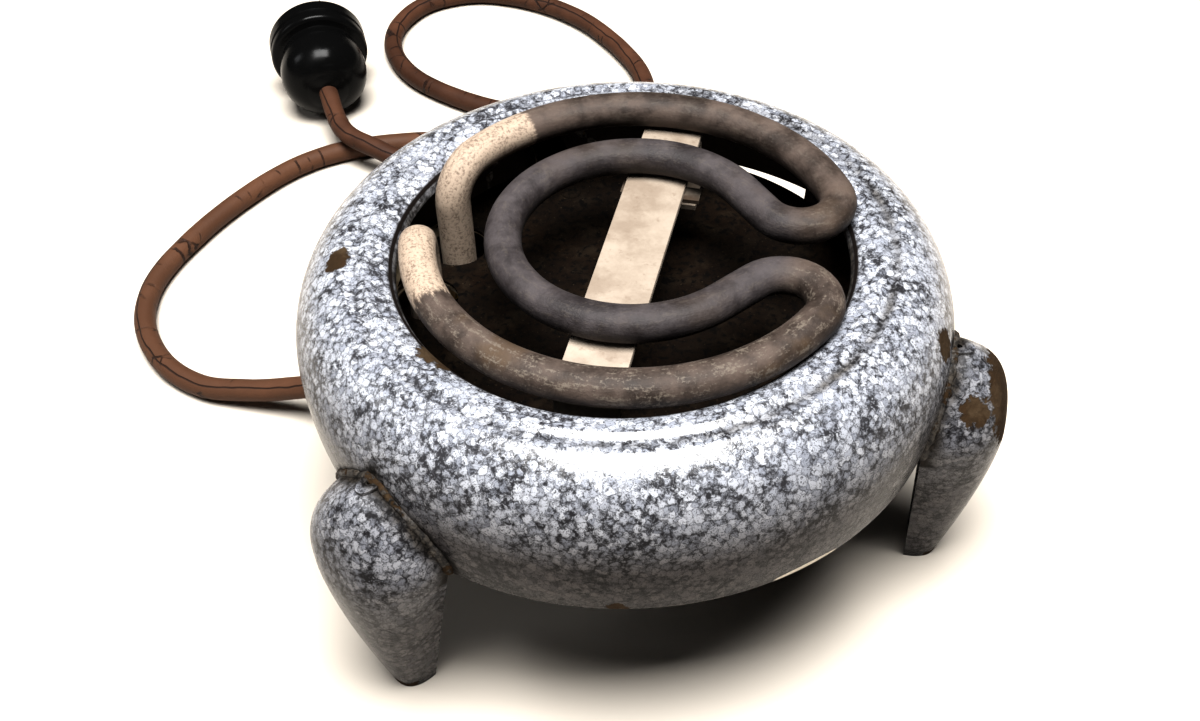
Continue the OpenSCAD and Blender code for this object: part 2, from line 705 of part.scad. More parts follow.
module plug_body() color([0.04, 0.04, 0.045]) plug_frame() {
    fr = plug_flange_d / 2;
    dr = plug_dome_d / 2;
    back = plug_len - flange_h;
    difference() {
        rotate_extrude($fn = 96) polygon(concat(
            [[0, 0.05], [cord_d / 2 + 2.2, 0.05]],
            arc_points([cord_d / 2 + 2.2, back * 0.55], dr - cord_d / 2 - 2.2, back * 0.55 - 1, 280, 360, 8),
            [[dr, back * 0.7], [dr - 1.6, back - 0.6], [dr - 1.6, back + 0.6]],
            arc_points([fr - 2, back + 2.6], 2, 2, 270, 360, 3),
            [[fr, back + 4.5], [fr - 0.8, back + 5.1], [fr - 0.8, back + 5.9], [fr, back + 6.5],
             [fr, plug_len - 2]],
            arc_points([fr - 1.6, plug_len - 1.6], 1.6, 1.6, 10, 90, 3),
            [[face_recess_r, plug_len], [face_recess_r, plug_len - recess_depth], [0, plug_len - recess_depth]]));
        translate([0, 0, back / 2]) cylinder(r = cord_d / 2 - 1, h = plug_len);
    }
}

module blade_places() {
    for (s = [-1, 1]) translate([s * blade_pitch / 2, 0, 0]) children();
}

module plug_face() color([0.2, 0.16, 0.12]) plug_frame() difference() {
    translate([0, 0, plug_len - face_t - 0.6]) cylinder(r = face_recess_r - snug, h = face_t);
    blade_places() translate([-blade_t / 2 - snug, -blade_w / 2 - snug, plug_len - 5])
        cube([blade_t + 2 * snug, blade_w + 2 * snug, 10]);
}

module plug_blades() color([0.78, 0.68, 0.42]) plug_frame() {
    blade_places() difference() {
        translate([-blade_t / 2, -blade_w / 2, plug_len - blade_root])
            cube([blade_t, blade_w, blade_root + blade_len]);
        translate([-3, 0, plug_len + blade_len - 4]) rotate([0, 90, 0]) cylinder(r = 1.6, h = 6);
        translate([-3, 0, plug_screw_z]) rotate([0, 90, 0]) cylinder(r = plug_screw_r + snug, h = 6);
    }
}

module plug_screws() color([0.7, 0.62, 0.4]) plug_frame() {
    for (s = [-1, 1]) translate([s * (blade_pitch / 2 + blade_t / 2 + snug), 0, plug_screw_z])
        rotate([0, -s * 90, 0]) screw(plug_screw_r, 3.2, 2, 1);
}

body_shell();
foot_left();
foot_right();
foot_rear();
drip_pan();
pan_arms();
pan_rivets();
arm_bolts();
arm_nuts();
heating_element();
end_seals();
terminal_studs();
terminal_nuts();
ring_lugs();
lead_live();
lead_neutral();
support_bar();
bar_rivets();
element_clips();
mica_sheet();
terminal_cover();
cover_posts();
cover_screws();
cord_sleeve();
cord_clamp();
clamp_screws();
cord_inner();
power_cord();
plug_body();
plug_face();
plug_blades();
plug_screws();
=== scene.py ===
"""Hot plate burner: the looks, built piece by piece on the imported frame."""

from __future__ import annotations

import logging
import math
from dataclasses import dataclass
from enum import Enum
from typing import Callable, Sequence

import bmesh
import bpy
from mathutils import Matrix, Vector, noise

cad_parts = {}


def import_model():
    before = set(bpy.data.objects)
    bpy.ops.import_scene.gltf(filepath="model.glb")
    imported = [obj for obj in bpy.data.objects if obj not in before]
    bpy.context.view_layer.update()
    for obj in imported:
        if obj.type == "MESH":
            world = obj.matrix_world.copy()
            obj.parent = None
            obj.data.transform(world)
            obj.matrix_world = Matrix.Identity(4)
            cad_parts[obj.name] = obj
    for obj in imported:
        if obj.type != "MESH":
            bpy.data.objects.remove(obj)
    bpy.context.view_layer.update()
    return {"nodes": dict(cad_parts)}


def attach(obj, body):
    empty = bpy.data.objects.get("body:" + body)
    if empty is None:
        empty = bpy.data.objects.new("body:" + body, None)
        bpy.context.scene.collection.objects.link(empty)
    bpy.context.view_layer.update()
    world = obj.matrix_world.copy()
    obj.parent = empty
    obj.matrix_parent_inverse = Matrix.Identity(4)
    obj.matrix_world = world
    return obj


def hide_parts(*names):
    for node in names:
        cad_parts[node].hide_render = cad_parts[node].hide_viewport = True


LOG = logging.getLogger("hot_plate")
MM = 0.001
BODY = "root"
Point = tuple[float, float]


# ---- the design's sizes, in metres ------------------------------------------


@dataclass(frozen=True)
class Sizes:
    """Sizes and angles shared by several pieces, as in the CAD source."""

    belly_r: float = 89.5 * MM
    belly_z: float = 77.5 * MM
    crown_z: float = 101.5 * MM
    opening_r: float = 60.5 * MM
    hem_r: float = 87.2 * MM
    hem_z: float = 57 * MM
    sheet: float = 1.2 * MM
    bead_w: float = 6 * MM
    bead_drop: float = 1.2 * MM
    lip_drop: float = 4.5 * MM
    groove_depth: float = 1.1 * MM
    groove_half: float = 3.6 * MM
    hem_roll: float = 1.6 * MM
    vent_az: float = 58.0
    vent_low: float = 60.2 * MM
    vent_high: float = 65.4 * MM
    vent_len: float = 29 * MM
    foot_az: float = -14.0
    pan_z: float = 77.4 * MM
    pan_r: float = 66.3 * MM
    element_z: float = 103.8 * MM
    element_x: float = 3 * MM
    tube_d: float = 10.2 * MM

    @property
    def crown_r(self) -> float:
        """Radius where the shoulder starts."""
        return self.opening_r + self.bead_w + 2 * MM

    @property
    def groove_r(self) -> float:
        """Radius of the middle of the pressed groove."""
        return self.crown_r + 2.7 * MM

    def crown_height(self, r: float) -> float:
        """Height of the shoulder at a radius."""
        u = max(0.0, r - self.crown_r) / (self.belly_r - self.crown_r)
        return self.belly_z + (self.crown_z - self.belly_z) * math.sqrt(max(0.0, 1 - u * u))

    def skirt_r(self, z: float) -> float:
        """Radius of the wall below the widest part."""
        u = (self.belly_z - z) / (self.belly_z - self.hem_z)
        return self.belly_r - (self.belly_r - self.hem_r) * u * u

    def wall_r(self, z: float) -> float:
        """Radius of the outer wall at any height."""
        if z < self.belly_z:
            return self.skirt_r(max(z, self.hem_z))
        u = min(1.0, (z - self.belly_z) / (self.crown_z - self.belly_z))
        return self.crown_r + (self.belly_r - self.crown_r) * math.sqrt(1 - u * u)


SIZES = Sizes()


def polar(r: float, degrees: float) -> Point:
    """Plane point at a radius and direction."""
    a = math.radians(degrees)
    return r * math.cos(a), r * math.sin(a)


def arc(centre: Point, a: float, b: float, start: float, end: float, n: int) -> list[Point]:
    """Points of an elliptical arc, both ends included."""
    out = []
    for i in range(n + 1):
        t = math.radians(start + (end - start) * i / n)
        out.append((centre[0] + a * math.cos(t), centre[1] + b * math.sin(t)))
    return out


def shifted(line: Sequence[Point], distance: float) -> list[Point]:
    """A line moved sideways, to the right of the way it runs."""
    out = []
    for i, (x, y) in enumerate(line):
        (ax, ay), (bx, by) = line[max(i - 1, 0)], line[min(i + 1, len(line) - 1)]
        length = math.hypot(bx - ax, by - ay) or 1.0
        out.append((x + distance * (by - ay) / length, y - distance * (bx - ax) / length))
    return out


def smooth_line(points: Sequence[Vector], steps: int) -> list[Vector]:
    """A smooth curve through points, with equal steps between each two."""
    out = []
    last = len(points) - 1
    for i in range(last):
        a, b, c, d = points[max(i - 1, 0)], points[i], points[i + 1], points[min(i + 2, last)]
        for j in range(steps):
            t = j / steps
            out.append(0.5 * (2 * b + (c - a) * t + (2 * a - 5 * b + 4 * c - d) * t * t
                              + (3 * b - a - 3 * c + d) * t ** 3))
    out.append(points[last].copy())
    return out


def lengths(path: Sequence[Vector]) -> list[float]:
    """Length along a path at each of its points."""
    run = [0.0]
    for a, b in zip(path, path[1:]):
        run.append(run[-1] + (b - a).length)
    return run


# ---- shader graph helpers ---------------------------------------------------


class Graph:
    """Short ways to add nodes to a node tree."""

    def __init__(self, tree: bpy.types.NodeTree) -> None:
        self.tree = tree

    def add(self, kind: str, inputs: dict | None = None, **settings) -> bpy.types.Node:
        """Add a node, set its properties, and set or link its inputs."""
        node = self.tree.nodes.new(kind)
        for key, value in settings.items():
            setattr(node, key, value)
        for key, value in (inputs or {}).items():
            self.feed(node.inputs[key], value)
        return node

    def feed(self, socket: bpy.types.NodeSocket, value) -> None:
        """Link a socket to another, or set its constant."""
        if isinstance(value, bpy.types.NodeSocket):
            self.tree.links.new(value, socket)
        elif isinstance(value, tuple) and len(value) == 3 and socket.type == "RGBA":
            socket.default_value = (*value, 1.0)
        else:
            socket.default_value = value

    def math(self, operation: str, a, b=0.0, clamp: bool = False):
        """One arithmetic step."""
        return self.add("ShaderNodeMath", {0: a, 1: b}, operation=operation, use_clamp=clamp).outputs[0]

    def times(self, a, b):
        """Product."""
        return self.math("MULTIPLY", a, b)

    def plus(self, a, b):
        """Sum."""
        return self.math("ADD", a, b)

    def minus(self, a, b):
        """Difference."""
        return self.math("SUBTRACT", a, b)

    def larger(self, a, b):
        """The larger of two values."""
        return self.math("MAXIMUM", a, b)

    def mix(self, factor, a, b, blend: str = "MIX"):
        """Mix two colours."""
        node = self.add("ShaderNodeMix", {0: factor, 6: a, 7: b}, data_type="RGBA", blend_type=blend)
        return node.outputs[2]

    def band(self, value, low: float, high: float, to_low: float = 0.0, to_high: float = 1.0):
        """Smooth step of a value from one range to another."""
        node = self.add("ShaderNodeMapRange", {0: value, 1: low, 2: high, 3: to_low, 4: to_high},
                        interpolation_type="SMOOTHSTEP")
        return node.outputs[0]

    def noise(self, vector, scale: float, detail: float = 3.0, rough: float = 0.55):
        """Noise as a value."""
        node = self.add("ShaderNodeTexNoise", {"Vector": vector, "Scale": scale, "Detail": detail,
                                               "Roughness": rough})
        return node.outputs[0]

    def cells(self, vector, scale: float, feature: str = "DISTANCE_TO_EDGE") -> bpy.types.Node:
        """Voronoi cells."""
        return self.add("ShaderNodeTexVoronoi", {"Vector": vector, "Scale": scale}, feature=feature)

    def attribute(self, name: str):
        """A value painted on the mesh."""
        return self.add("ShaderNodeAttribute", attribute_name=name).outputs["Fac"]

    def bump(self, height, strength: float, distance: float, normal=None):
        """Bump from a height."""
        inputs = {"Height": height, "Strength": strength, "Distance": distance}
        if normal is not None:
            inputs["Normal"] = normal
        return self.add("ShaderNodeBump", inputs).outputs[0]


SOCKETS = {"Vector": "NodeSocketVector", "Color": "NodeSocketColor"}


def new_group(name: str, takes: Sequence[str], gives: Sequence[str]) -> tuple:
    """A node group with its sockets, as (tree, graph, input node, output node)."""
    tree = bpy.data.node_groups.new(name, "ShaderNodeTree")
    for side, names in (("INPUT", takes), ("OUTPUT", gives)):
        for label in names:
            kind = SOCKETS.get(label, "NodeSocketFloat")
            tree.interface.new_socket(label, in_out=side, socket_type=kind)
    g = Graph(tree)
    return tree, g, g.add("NodeGroupInput"), g.add("NodeGroupOutput")


def warp_group() -> bpy.types.NodeTree:
    """Group that bends a position a little, so that no pattern runs straight."""
    tree, g, start, end = new_group("Warp", ("Vector", "Scale", "Amount"), ("Vector",))
    field = g.add("ShaderNodeTexNoise", {"Vector": start.outputs[0], "Scale": start.outputs[1],
                                         "Detail": 2.0}).outputs[1]
    centred = g.add("ShaderNodeVectorMath", {0: field, 1: (0.5, 0.5, 0.5)}, operation="SUBTRACT").outputs[0]
    scaled = g.add("ShaderNodeVectorMath", {0: centred, "Scale": start.outputs[2]},
                   operation="SCALE").outputs[0]
    total = g.add("ShaderNodeVectorMath", {0: start.outputs[0], 1: scaled}, operation="ADD").outputs[0]
    g.feed(end.inputs[0], total)
    return tree


def speckle_group(warp: bpy.types.NodeTree) -> bpy.types.NodeTree:
    """Group with the enamel's pale flecks: their mask, their tone and their height."""
    tree, g, start, end = new_group("Speckle", ("Vector",), ("Fleck", "Tone", "Height"))
    at = g.add("ShaderNodeGroup", {0: start.outputs[0], 1: 700.0, 2: 0.0021}, node_tree=warp).outputs[0]
    clusters = g.minus(g.noise(start.outputs[0], 82.0, 5.0, 0.68), 0.5)
    shreds = g.minus(g.noise(at, 1000.0, 3.0, 0.7), 0.5)
    cell = g.cells(at, 480.0, "F1")
    cell_tone = g.add("ShaderNodeSeparateColor", {0: cell.outputs["Color"]}).outputs[0]
    push = g.plus(g.times(shreds, 1.4), g.times(clusters, -1.7))
    push = g.plus(push, g.times(cell_tone, -0.22))
    large = g.band(g.plus(cell.outputs["Distance"], push), 0.20, 0.80, 1.0, 0.0)
    small = g.cells(at, 1150.0, "F1").outputs["Distance"]
    fine = g.band(g.plus(small, g.times(push, 0.9)), 0.08, 0.62, 0.8, 0.0)
    web = g.plus(g.cells(at, 480.0).outputs["Distance"], g.times(shreds, 0.30))
    fleck = g.times(g.larger(large, fine), g.band(web, -0.03, 0.08, 0.42, 1.0))
    pits = g.band(g.noise(at, 2100.0, 2.0, 0.7), 0.53, 0.64)
    fleck = g.times(fleck, g.minus(1.0, g.times(pits, 0.8)))
    g.feed(end.inputs[0], fleck)
    g.feed(end.inputs[1], cell_tone)
    g.feed(end.inputs[2], g.minus(g.times(large, 0.6), g.times(pits, 0.4)))
    return tree


def rust_group(warp: bpy.types.NodeTree) -> bpy.types.NodeTree:
    """Group with rust: its colour, a ragged cover mask for a painted amount, and its height."""
    tree, g, start, end = new_group("Rust", ("Vector", "Amount"), ("Color", "Mask", "Height"))
    at = g.add("ShaderNodeGroup", {0: start.outputs[0], 1: 300.0, 2: 0.003}, node_tree=warp).outputs[0]
    grain = g.noise(at, 480.0, 5.0, 0.65)
    patches = g.noise(at, 130.0, 3.0, 0.6)
    colour = g.mix(grain, (0.018, 0.010, 0.006), (0.16, 0.085, 0.040))
    colour = g.mix(g.band(patches, 0.45, 0.7), colour, (0.22, 0.15, 0.09))
    ragged = g.plus(start.outputs[1], g.times(g.minus(grain, 0.5), 1.1))
    g.feed(end.inputs[0], colour)
    g.feed(end.inputs[1], g.band(ragged, 0.42, 0.56))
    g.feed(end.inputs[2], grain)
    return tree


# ---- finishes ---------------------------------------------------------------


class Slot(Enum):
    """The record's material slots."""

    ENAMEL = "speckled_enamel"
    RUSTED = "rusted_sheet"
    SHEATH = "oxidised_sheath"
    BAR = "pale_bar"
    STEEL = "dull_steel"
    DARK = "dark_sheet"
    BRASS = "old_brass"
    CERAMIC = "ceramic"
    MICA = "mica"
    LEAD = "cloth_lead"
    CORD = "braided_cord"
    RUBBER = "old_rubber"
    PHENOLIC = "black_phenolic"
    FIBRE = "fibre_disc"


@dataclass(frozen=True)
class Finish:
    """A plain worn finish: two tones, wear and grain."""

    light: tuple[float, float, float]
    dark: tuple[float, float, float]
    roughness: float
    metallic: float = 0.0
    grain: float = 700.0
    bump: float = 0.15
    wear: float = 0.15


PLAIN: dict[Slot, Finish] = {
    Slot.STEEL: Finish((0.34, 0.30, 0.25), (0.10, 0.07, 0.05), 0.5, 0.75, 900, 0.2, 0.3),
    Slot.DARK: Finish((0.12, 0.105, 0.09), (0.03, 0.022, 0.018), 0.6, 0.3, 300, 0.15, 0.25),
    Slot.BRASS: Finish((0.62, 0.45, 0.20), (0.24, 0.15, 0.06), 0.38, 0.9, 800, 0.12, 0.2),
    Slot.CERAMIC: Finish((0.72, 0.66, 0.56), (0.45, 0.38, 0.28), 0.7, 0.0, 500, 0.1, 0.2),
    Slot.MICA: Finish((0.36, 0.30, 0.21), (0.14, 0.10, 0.06), 0.4, 0.0, 260, 0.2, 0.3),
    Slot.LEAD: Finish((0.42, 0.38, 0.31), (0.20, 0.17, 0.13), 0.9, 0.0, 1800, 0.4, 0.2),
    Slot.RUBBER: Finish((0.035, 0.030, 0.027), (0.012, 0.010, 0.009), 0.6, 0.0, 700, 0.2, 0.3),
    Slot.FIBRE: Finish((0.16, 0.10, 0.06), (0.06, 0.035, 0.02), 0.75, 0.0, 900, 0.2, 0.2),
}


class Finishes:
    """Makes every material once."""

    def __init__(self) -> None:
        self.warp = warp_group()
        self.speckle = speckle_group(self.warp)
        self.rust = rust_group(self.warp)
        self.made: dict[Slot, bpy.types.Material] = {slot: self.plain(slot, f) for slot, f in PLAIN.items()}
        self.made[Slot.ENAMEL] = self.enamel()
        self.made[Slot.RUSTED] = self.rusted()
        self.made[Slot.SHEATH] = self.sheath()
        self.made[Slot.BAR] = self.bar()
        self.made[Slot.CORD] = self.cord()
        self.made[Slot.PHENOLIC] = self.phenolic()

    def start(self, name: str) -> tuple[bpy.types.Material, Graph, bpy.types.Node, bpy.types.NodeSocket]:
        """A new material with its graph, shader and object coordinates."""
        material = bpy.data.materials.new(name)
        material.use_nodes = True
        g = Graph(material.node_tree)
        shader = material.node_tree.nodes["Principled BSDF"]
        where = g.add("ShaderNodeTexCoord").outputs["Object"]
        return material, g, shader, where

    def rust_on(self, g: Graph, where, amount) -> tuple:
        """The rust group's colour, mask and height."""
        node = g.add("ShaderNodeGroup", {0: where, 1: amount}, node_tree=self.rust)
        return node.outputs[0], node.outputs[1], node.outputs[2]

    def plain(self, slot: Slot, f: Finish) -> bpy.types.Material:
        """A worn two-tone finish."""
        material, g, shader, where = self.start(slot.value)
        clouds = g.noise(where, 110.0, 4.0, 0.6)
        grain = g.noise(where, f.grain, 3.0, 0.6)
        colour = g.mix(g.band(clouds, 0.35, 0.68), f.light, f.dark)
        colour = g.mix(g.times(grain, f.wear), colour, f.dark)
        g.feed(shader.inputs["Base Color"], colour)
        shader.inputs["Metallic"].default_value = f.metallic
        rough = g.math("ADD", f.roughness - 0.12, g.times(grain, 0.26), clamp=True)
        g.feed(shader.inputs["Roughness"], rough)
        g.feed(shader.inputs["Normal"], g.bump(grain, f.bump, 0.0004))
        return material

    def enamel(self) -> bpy.types.Material:
        """Blue-grey enamel crowded with pale flecks, chipped and stained, with painted shade on the lower
        wall and in the groove.
        """
        material, g, shader, where = self.start(Slot.ENAMEL.value)
        flecks = g.add("ShaderNodeGroup", {0: where}, node_tree=self.speckle)
        fleck, tone, height = flecks.outputs[0], flecks.outputs[1], flecks.outputs[2]
        drift = g.noise(where, 28.0, 3.0, 0.5)
        ground = g.mix(drift, (0.012, 0.011, 0.012), (0.050, 0.050, 0.056))
        pale = g.mix(tone, (0.235, 0.247, 0.282), (0.43, 0.442, 0.475))
        colour = g.mix(fleck, ground, pale)
        # Painted shade: the low attribute darkens the wall below the shoulder, most at the front.
        colour = g.mix(g.attribute("low"), colour, (0.19, 0.165, 0.15), "MULTIPLY")
        # Dirt at the feet and the lip, painted shade in the groove and a darker bottom edge, multiplied in
        # as one brown tint.
        stain_and_shade = g.times(g.attribute("grime_and_shade"), g.noise(where, 90.0, 4.0, 0.7))
        colour = g.mix(g.band(stain_and_shade, 0.08, 0.5, 0.0, 0.95), colour, (0.13, 0.10, 0.065), "MULTIPLY")
        black = g.mix(drift, (0.004, 0.003, 0.003), (0.014, 0.010, 0.008))
        colour = g.mix(g.attribute("soot"), colour, black)
        rust, mask, rust_height = self.rust_on(g, where, g.attribute("chip"))
        colour = g.mix(mask, colour, g.mix(0.8, rust, (0.020, 0.014, 0.008)))
        pale_chip = g.band(g.plus(g.attribute("bare"), g.times(drift, 0.2)), 0.5, 0.62)
        colour = g.mix(pale_chip, colour, (0.62, 0.57, 0.48))
        g.feed(shader.inputs["Base Color"], colour)
        dull = g.larger(mask, g.band(stain_and_shade, 0.1, 0.5, 0.0, 0.6))
        dull = g.larger(dull, g.attribute("soot"))
        g.feed(shader.inputs["Roughness"], g.band(dull, 0.0, 1.0, 0.18, 0.95))
        # Gloss and coat fall off where the sheet is dull and where painted shade darkens the lower wall.
        dull_and_shaded = g.larger(dull, g.band(g.attribute("low"), 0.05, 0.5))
        g.feed(shader.inputs["Specular IOR Level"], g.band(dull_and_shaded, 0.0, 1.0, 0.5, 0.08))
        g.feed(shader.inputs["Coat Weight"], g.band(dull_and_shaded, 0.0, 1.0, 0.15, 0.0))
        shader.inputs["Coat Roughness"].default_value = 0.08
        ripple = g.bump(g.noise(where, 190.0, 2.0, 0.5), 0.35, 0.0006)
        detail = g.bump(height, 0.22, 0.0003, ripple)
        g.feed(shader.inputs["Normal"], g.bump(g.times(mask, rust_height), 0.8, -0.0008, detail))
        return material

    def rusted(self) -> bpy.types.Material:
        """Dark pan steel, rusted and speckled with ash, its colour darkened further as painted shade for
        the dim inside of the body.
        """
        material, g, shader, where = self.start(Slot.RUSTED.value)
        rust, mask, height = self.rust_on(g, where, 0.56)
        clouds = g.noise(where, 60.0, 4.0, 0.6)
        # Near-black tones: rust and dark steel, darkened further as painted shade.
        colour = g.mix(mask, (0.0012, 0.0008, 0.0006), g.mix(0.93, rust, (0.0022, 0.0011, 0.0005)))
        colour = g.mix(g.band(clouds, 0.4, 0.75), g.mix(0.6, colour, (0.0018, 0.0011, 0.0007)), colour)
        ash = g.band(g.noise(where, 1100.0, 2.0, 0.5), 0.68, 0.74)
        colour = g.mix(g.times(ash, 0.3), colour, (0.07, 0.05, 0.03))
        g.feed(shader.inputs["Base Color"], colour)
        shader.inputs["Roughness"].default_value = 0.95
        shader.inputs["Specular IOR Level"].default_value = 0.08
        g.feed(shader.inputs["Normal"], g.bump(height, 0.7, 0.0012))
        return material

    def sheath(self) -> bpy.types.Material:
        """Oxidised heating tube, dark where hot and tan at its cold ends, with brown patches that are
        partly oxide and partly painted bounce light towards the front.
        """
        material, g, shader, where = self.start(Slot.SHEATH.value)
        clouds = g.noise(where, 75.0, 5.0, 0.65)
        grain = g.noise(where, 1300.0, 3.0, 0.7)
        drawn = g.add("ShaderNodeCombineXYZ", {0: g.times(g.attribute("along"), 130.0),
                                               1: g.times(g.attribute("round"), 7.0)}).outputs[0]
        streaks = g.noise(drawn, 1.0, 5.0, 0.7)
        hot = g.mix(g.band(clouds, 0.34, 0.66), (0.022, 0.014, 0.010), (0.105, 0.078, 0.064))
        inner = g.mix(g.band(clouds, 0.34, 0.66), (0.018, 0.014, 0.015), (0.072, 0.062, 0.064))
        colour = g.mix(g.attribute("inner"), hot, inner)
        # Brown patches: oxide colour, weighted towards the front as painted bounce light from below.
        brown_oxide_and_bounce = g.band(g.noise(where, 48.0, 3.0, 0.6), 0.5, 0.7)
        colour = g.mix(g.times(brown_oxide_and_bounce, g.attribute("scuff")), colour, (0.085, 0.055, 0.032))
        rubbed = g.plus(g.times(streaks, 0.6), g.times(grain, 0.4))
        scuff = g.times(g.band(rubbed, 0.51, 0.60), g.attribute("scuff"))
        colour = g.mix(g.times(scuff, 0.75), colour, (0.19, 0.16, 0.13))
        mottle = g.plus(g.times(streaks, 0.35), g.times(grain, 0.65))
        cold = g.mix(g.band(mottle, 0.36, 0.56), (0.17, 0.125, 0.092), (0.46, 0.37, 0.29))
        edge = g.plus(g.attribute("cold"), g.times(g.minus(streaks, 0.5), 0.7))
        colour = g.mix(g.band(edge, 0.42, 0.58), colour, cold)
        colour = g.mix(g.times(grain, 0.45), colour, (0.016, 0.012, 0.010))
        shader.inputs["Specular IOR Level"].default_value = 0.35
        g.feed(shader.inputs["Base Color"], colour)
        g.feed(shader.inputs["Roughness"], g.band(clouds, 0.2, 0.8, 0.55, 0.78))
        coarse = g.bump(streaks, 0.25, 0.0007)
        g.feed(shader.inputs["Normal"], g.bump(grain, 0.35, 0.0004, coarse))
        return material

    def bar(self) -> bpy.types.Material:
        """Cream-grey bar, smudged by heat."""
        material, g, shader, where = self.start(Slot.BAR.value)
        clouds = g.noise(where, 95.0, 4.0, 0.6)
        grain = g.noise(where, 1000.0, 3.0, 0.6)
        colour = g.mix(g.band(clouds, 0.3, 0.7), (0.30, 0.255, 0.21), (0.20, 0.16, 0.125))
        smudge = g.band(g.noise(where, 320.0, 3.0, 0.7), 0.58, 0.72)
        colour = g.mix(g.times(smudge, 0.5), colour, (0.16, 0.12, 0.09))
        colour = g.mix(g.times(grain, 0.2), colour, (0.25, 0.2, 0.15))
        g.feed(shader.inputs["Base Color"], colour)
        g.feed(shader.inputs["Roughness"], g.band(grain, 0.2, 0.8, 0.5, 0.75))
        g.feed(shader.inputs["Normal"], g.bump(grain, 0.25, 0.0004))
        return material

    def cord(self) -> bpy.types.Material:
        """Brown varnished fabric, with a seam along it and cracks across it."""
        material, g, shader, where = self.start(Slot.CORD.value)
        along, round_ = g.attribute("along"), g.attribute("round")
        clouds = g.noise(where, 42.0, 3.0, 0.6)
        grain = g.noise(where, 1100.0, 3.0, 0.7)
        place = g.add("ShaderNodeCombineXYZ", {0: g.times(along, 120.0),
                                               1: g.times(round_, 0.8)}).outputs[0]
        cracks = g.cells(place, 1.0).outputs["Distance"]
        crack = g.band(g.plus(cracks, g.times(g.minus(grain, 0.5), 0.08)),
                       0.01, 0.04, 1.0, 0.0)
        crack = g.times(crack, g.band(g.noise(where, 90.0, 2.0), 0.48, 0.62))
        wander = g.times(g.minus(g.noise(where, 60.0, 2.0), 0.5), 0.3)
        seam_at = g.math("ABSOLUTE", g.minus(g.plus(round_, wander), 0.3))
        seam = g.band(seam_at, 0.012, 0.03, 1.0, 0.0)
        colour = g.mix(g.band(clouds, 0.35, 0.7), (0.026, 0.009, 0.004), (0.085, 0.036, 0.018))
        colour = g.mix(g.times(g.attribute("fade"), 0.5), colour, (0.13, 0.066, 0.036))
        colour = g.mix(g.times(grain, 0.5), colour, (0.06, 0.028, 0.018))
        gap = g.larger(crack, seam)
        shader.inputs["Specular IOR Level"].default_value = 0.2
        colour = g.mix(g.times(gap, 0.8), colour, (0.010, 0.005, 0.004))
        g.feed(shader.inputs["Base Color"], colour)
        g.feed(shader.inputs["Roughness"], g.band(clouds, 0.2, 0.8, 0.55, 0.75))
        fine = g.bump(grain, 0.4, 0.0004)
        g.feed(shader.inputs["Normal"], g.bump(gap, 0.9, -0.0008, fine))
        return material

    def phenolic(self) -> bpy.types.Material:
        """Glossy black moulding with a little dust."""
        material, g, shader, where = self.start(Slot.PHENOLIC.value)
        dust = g.noise(where, 900.0, 3.0, 0.7)
        clouds = g.noise(where, 90.0, 3.0, 0.6)
        dusty = g.times(g.band(dust, 0.6, 0.85), 0.08)
        colour = g.mix(dusty, (0.003, 0.003, 0.003), (0.06, 0.05, 0.045))
        g.feed(shader.inputs["Base Color"], colour)
        g.feed(shader.inputs["Roughness"], g.band(clouds, 0.3, 0.7, 0.16, 0.30))
        shader.inputs["Specular IOR Level"].default_value = 0.10
        g.feed(shader.inputs["Normal"], g.bump(dust, 0.06, 0.0003))
        return material


# ---- mesh helpers -----------------------------------------------------------


class Mesh:
    """A piece's mesh, built with bmesh operators."""

    def __init__(self) -> None:
        self.bm = bmesh.new()

    def revolve(self, line: Sequence[Point], segments: int) -> None:
        """Spin a closed profile of (radius, height) once round +Z."""
        verts = [self.bm.verts.new((r, 0.0, z)) for r, z in line]
        edges = [self.bm.edges.new(p) for p in zip(verts, verts[1:] + verts[:1])]
        bmesh.ops.spin(self.bm, geom=verts + edges, cent=(0, 0, 0), axis=(0, 0, 1), angle=math.tau,
                       steps=segments, use_merge=True, use_duplicate=False)
        bmesh.ops.remove_doubles(self.bm, verts=self.bm.verts, dist=1e-7)

    def loft(self, rings: Sequence[Sequence[Vector]]) -> None:
        """Extrude a ring of edges through a row of places and close both ends."""
        ring = [self.bm.verts.new(p) for p in rings[0]]
        edges = [self.bm.edges.new((ring[i], ring[(i + 1) % len(ring)])) for i in range(len(ring))]
        self.bm.faces.new(ring)
        for places in rings[1:]:
            made = bmesh.ops.extrude_edge_only(self.bm, edges=edges)["geom"]
            new = {v for v in made if isinstance(v, bmesh.types.BMVert)}
            ring = [next(e.other_vert(v) for e in v.link_edges if e.other_vert(v) in new) for v in ring]
            for vert, place in zip(ring, places):
                vert.co = place
            edges = [self.bm.edges.get((ring[i], ring[(i + 1) % len(ring)])) for i in range(len(ring))]
        self.bm.faces.new(ring)

    def paint(self, name: str, value: Callable[[Vector], float]) -> None:
        """Store a value on every vertex for the shaders."""
        layer = self.bm.verts.layers.float.get(name) or self.bm.verts.layers.float.new(name)
        for vert in self.bm.verts:
            vert[layer] = value(vert.co)

    def finish(self, name: str, material: bpy.types.Material, angle: float = 40.0) -> bpy.types.Object:
        """Turn the mesh into an object with smooth faces and sharp corners."""
        bmesh.ops.recalc_face_normals(self.bm, faces=self.bm.faces)
        for face in self.bm.faces:
            face.smooth = True
        mesh = bpy.data.meshes.new(name)
        self.bm.to_mesh(mesh)
        self.bm.free()
        mesh.set_sharp_from_angle(angle=math.radians(angle))
        mesh.materials.append(material)
        obj = bpy.data.objects.new(name, mesh)
        bpy.context.scene.collection.objects.link(obj)
        return obj


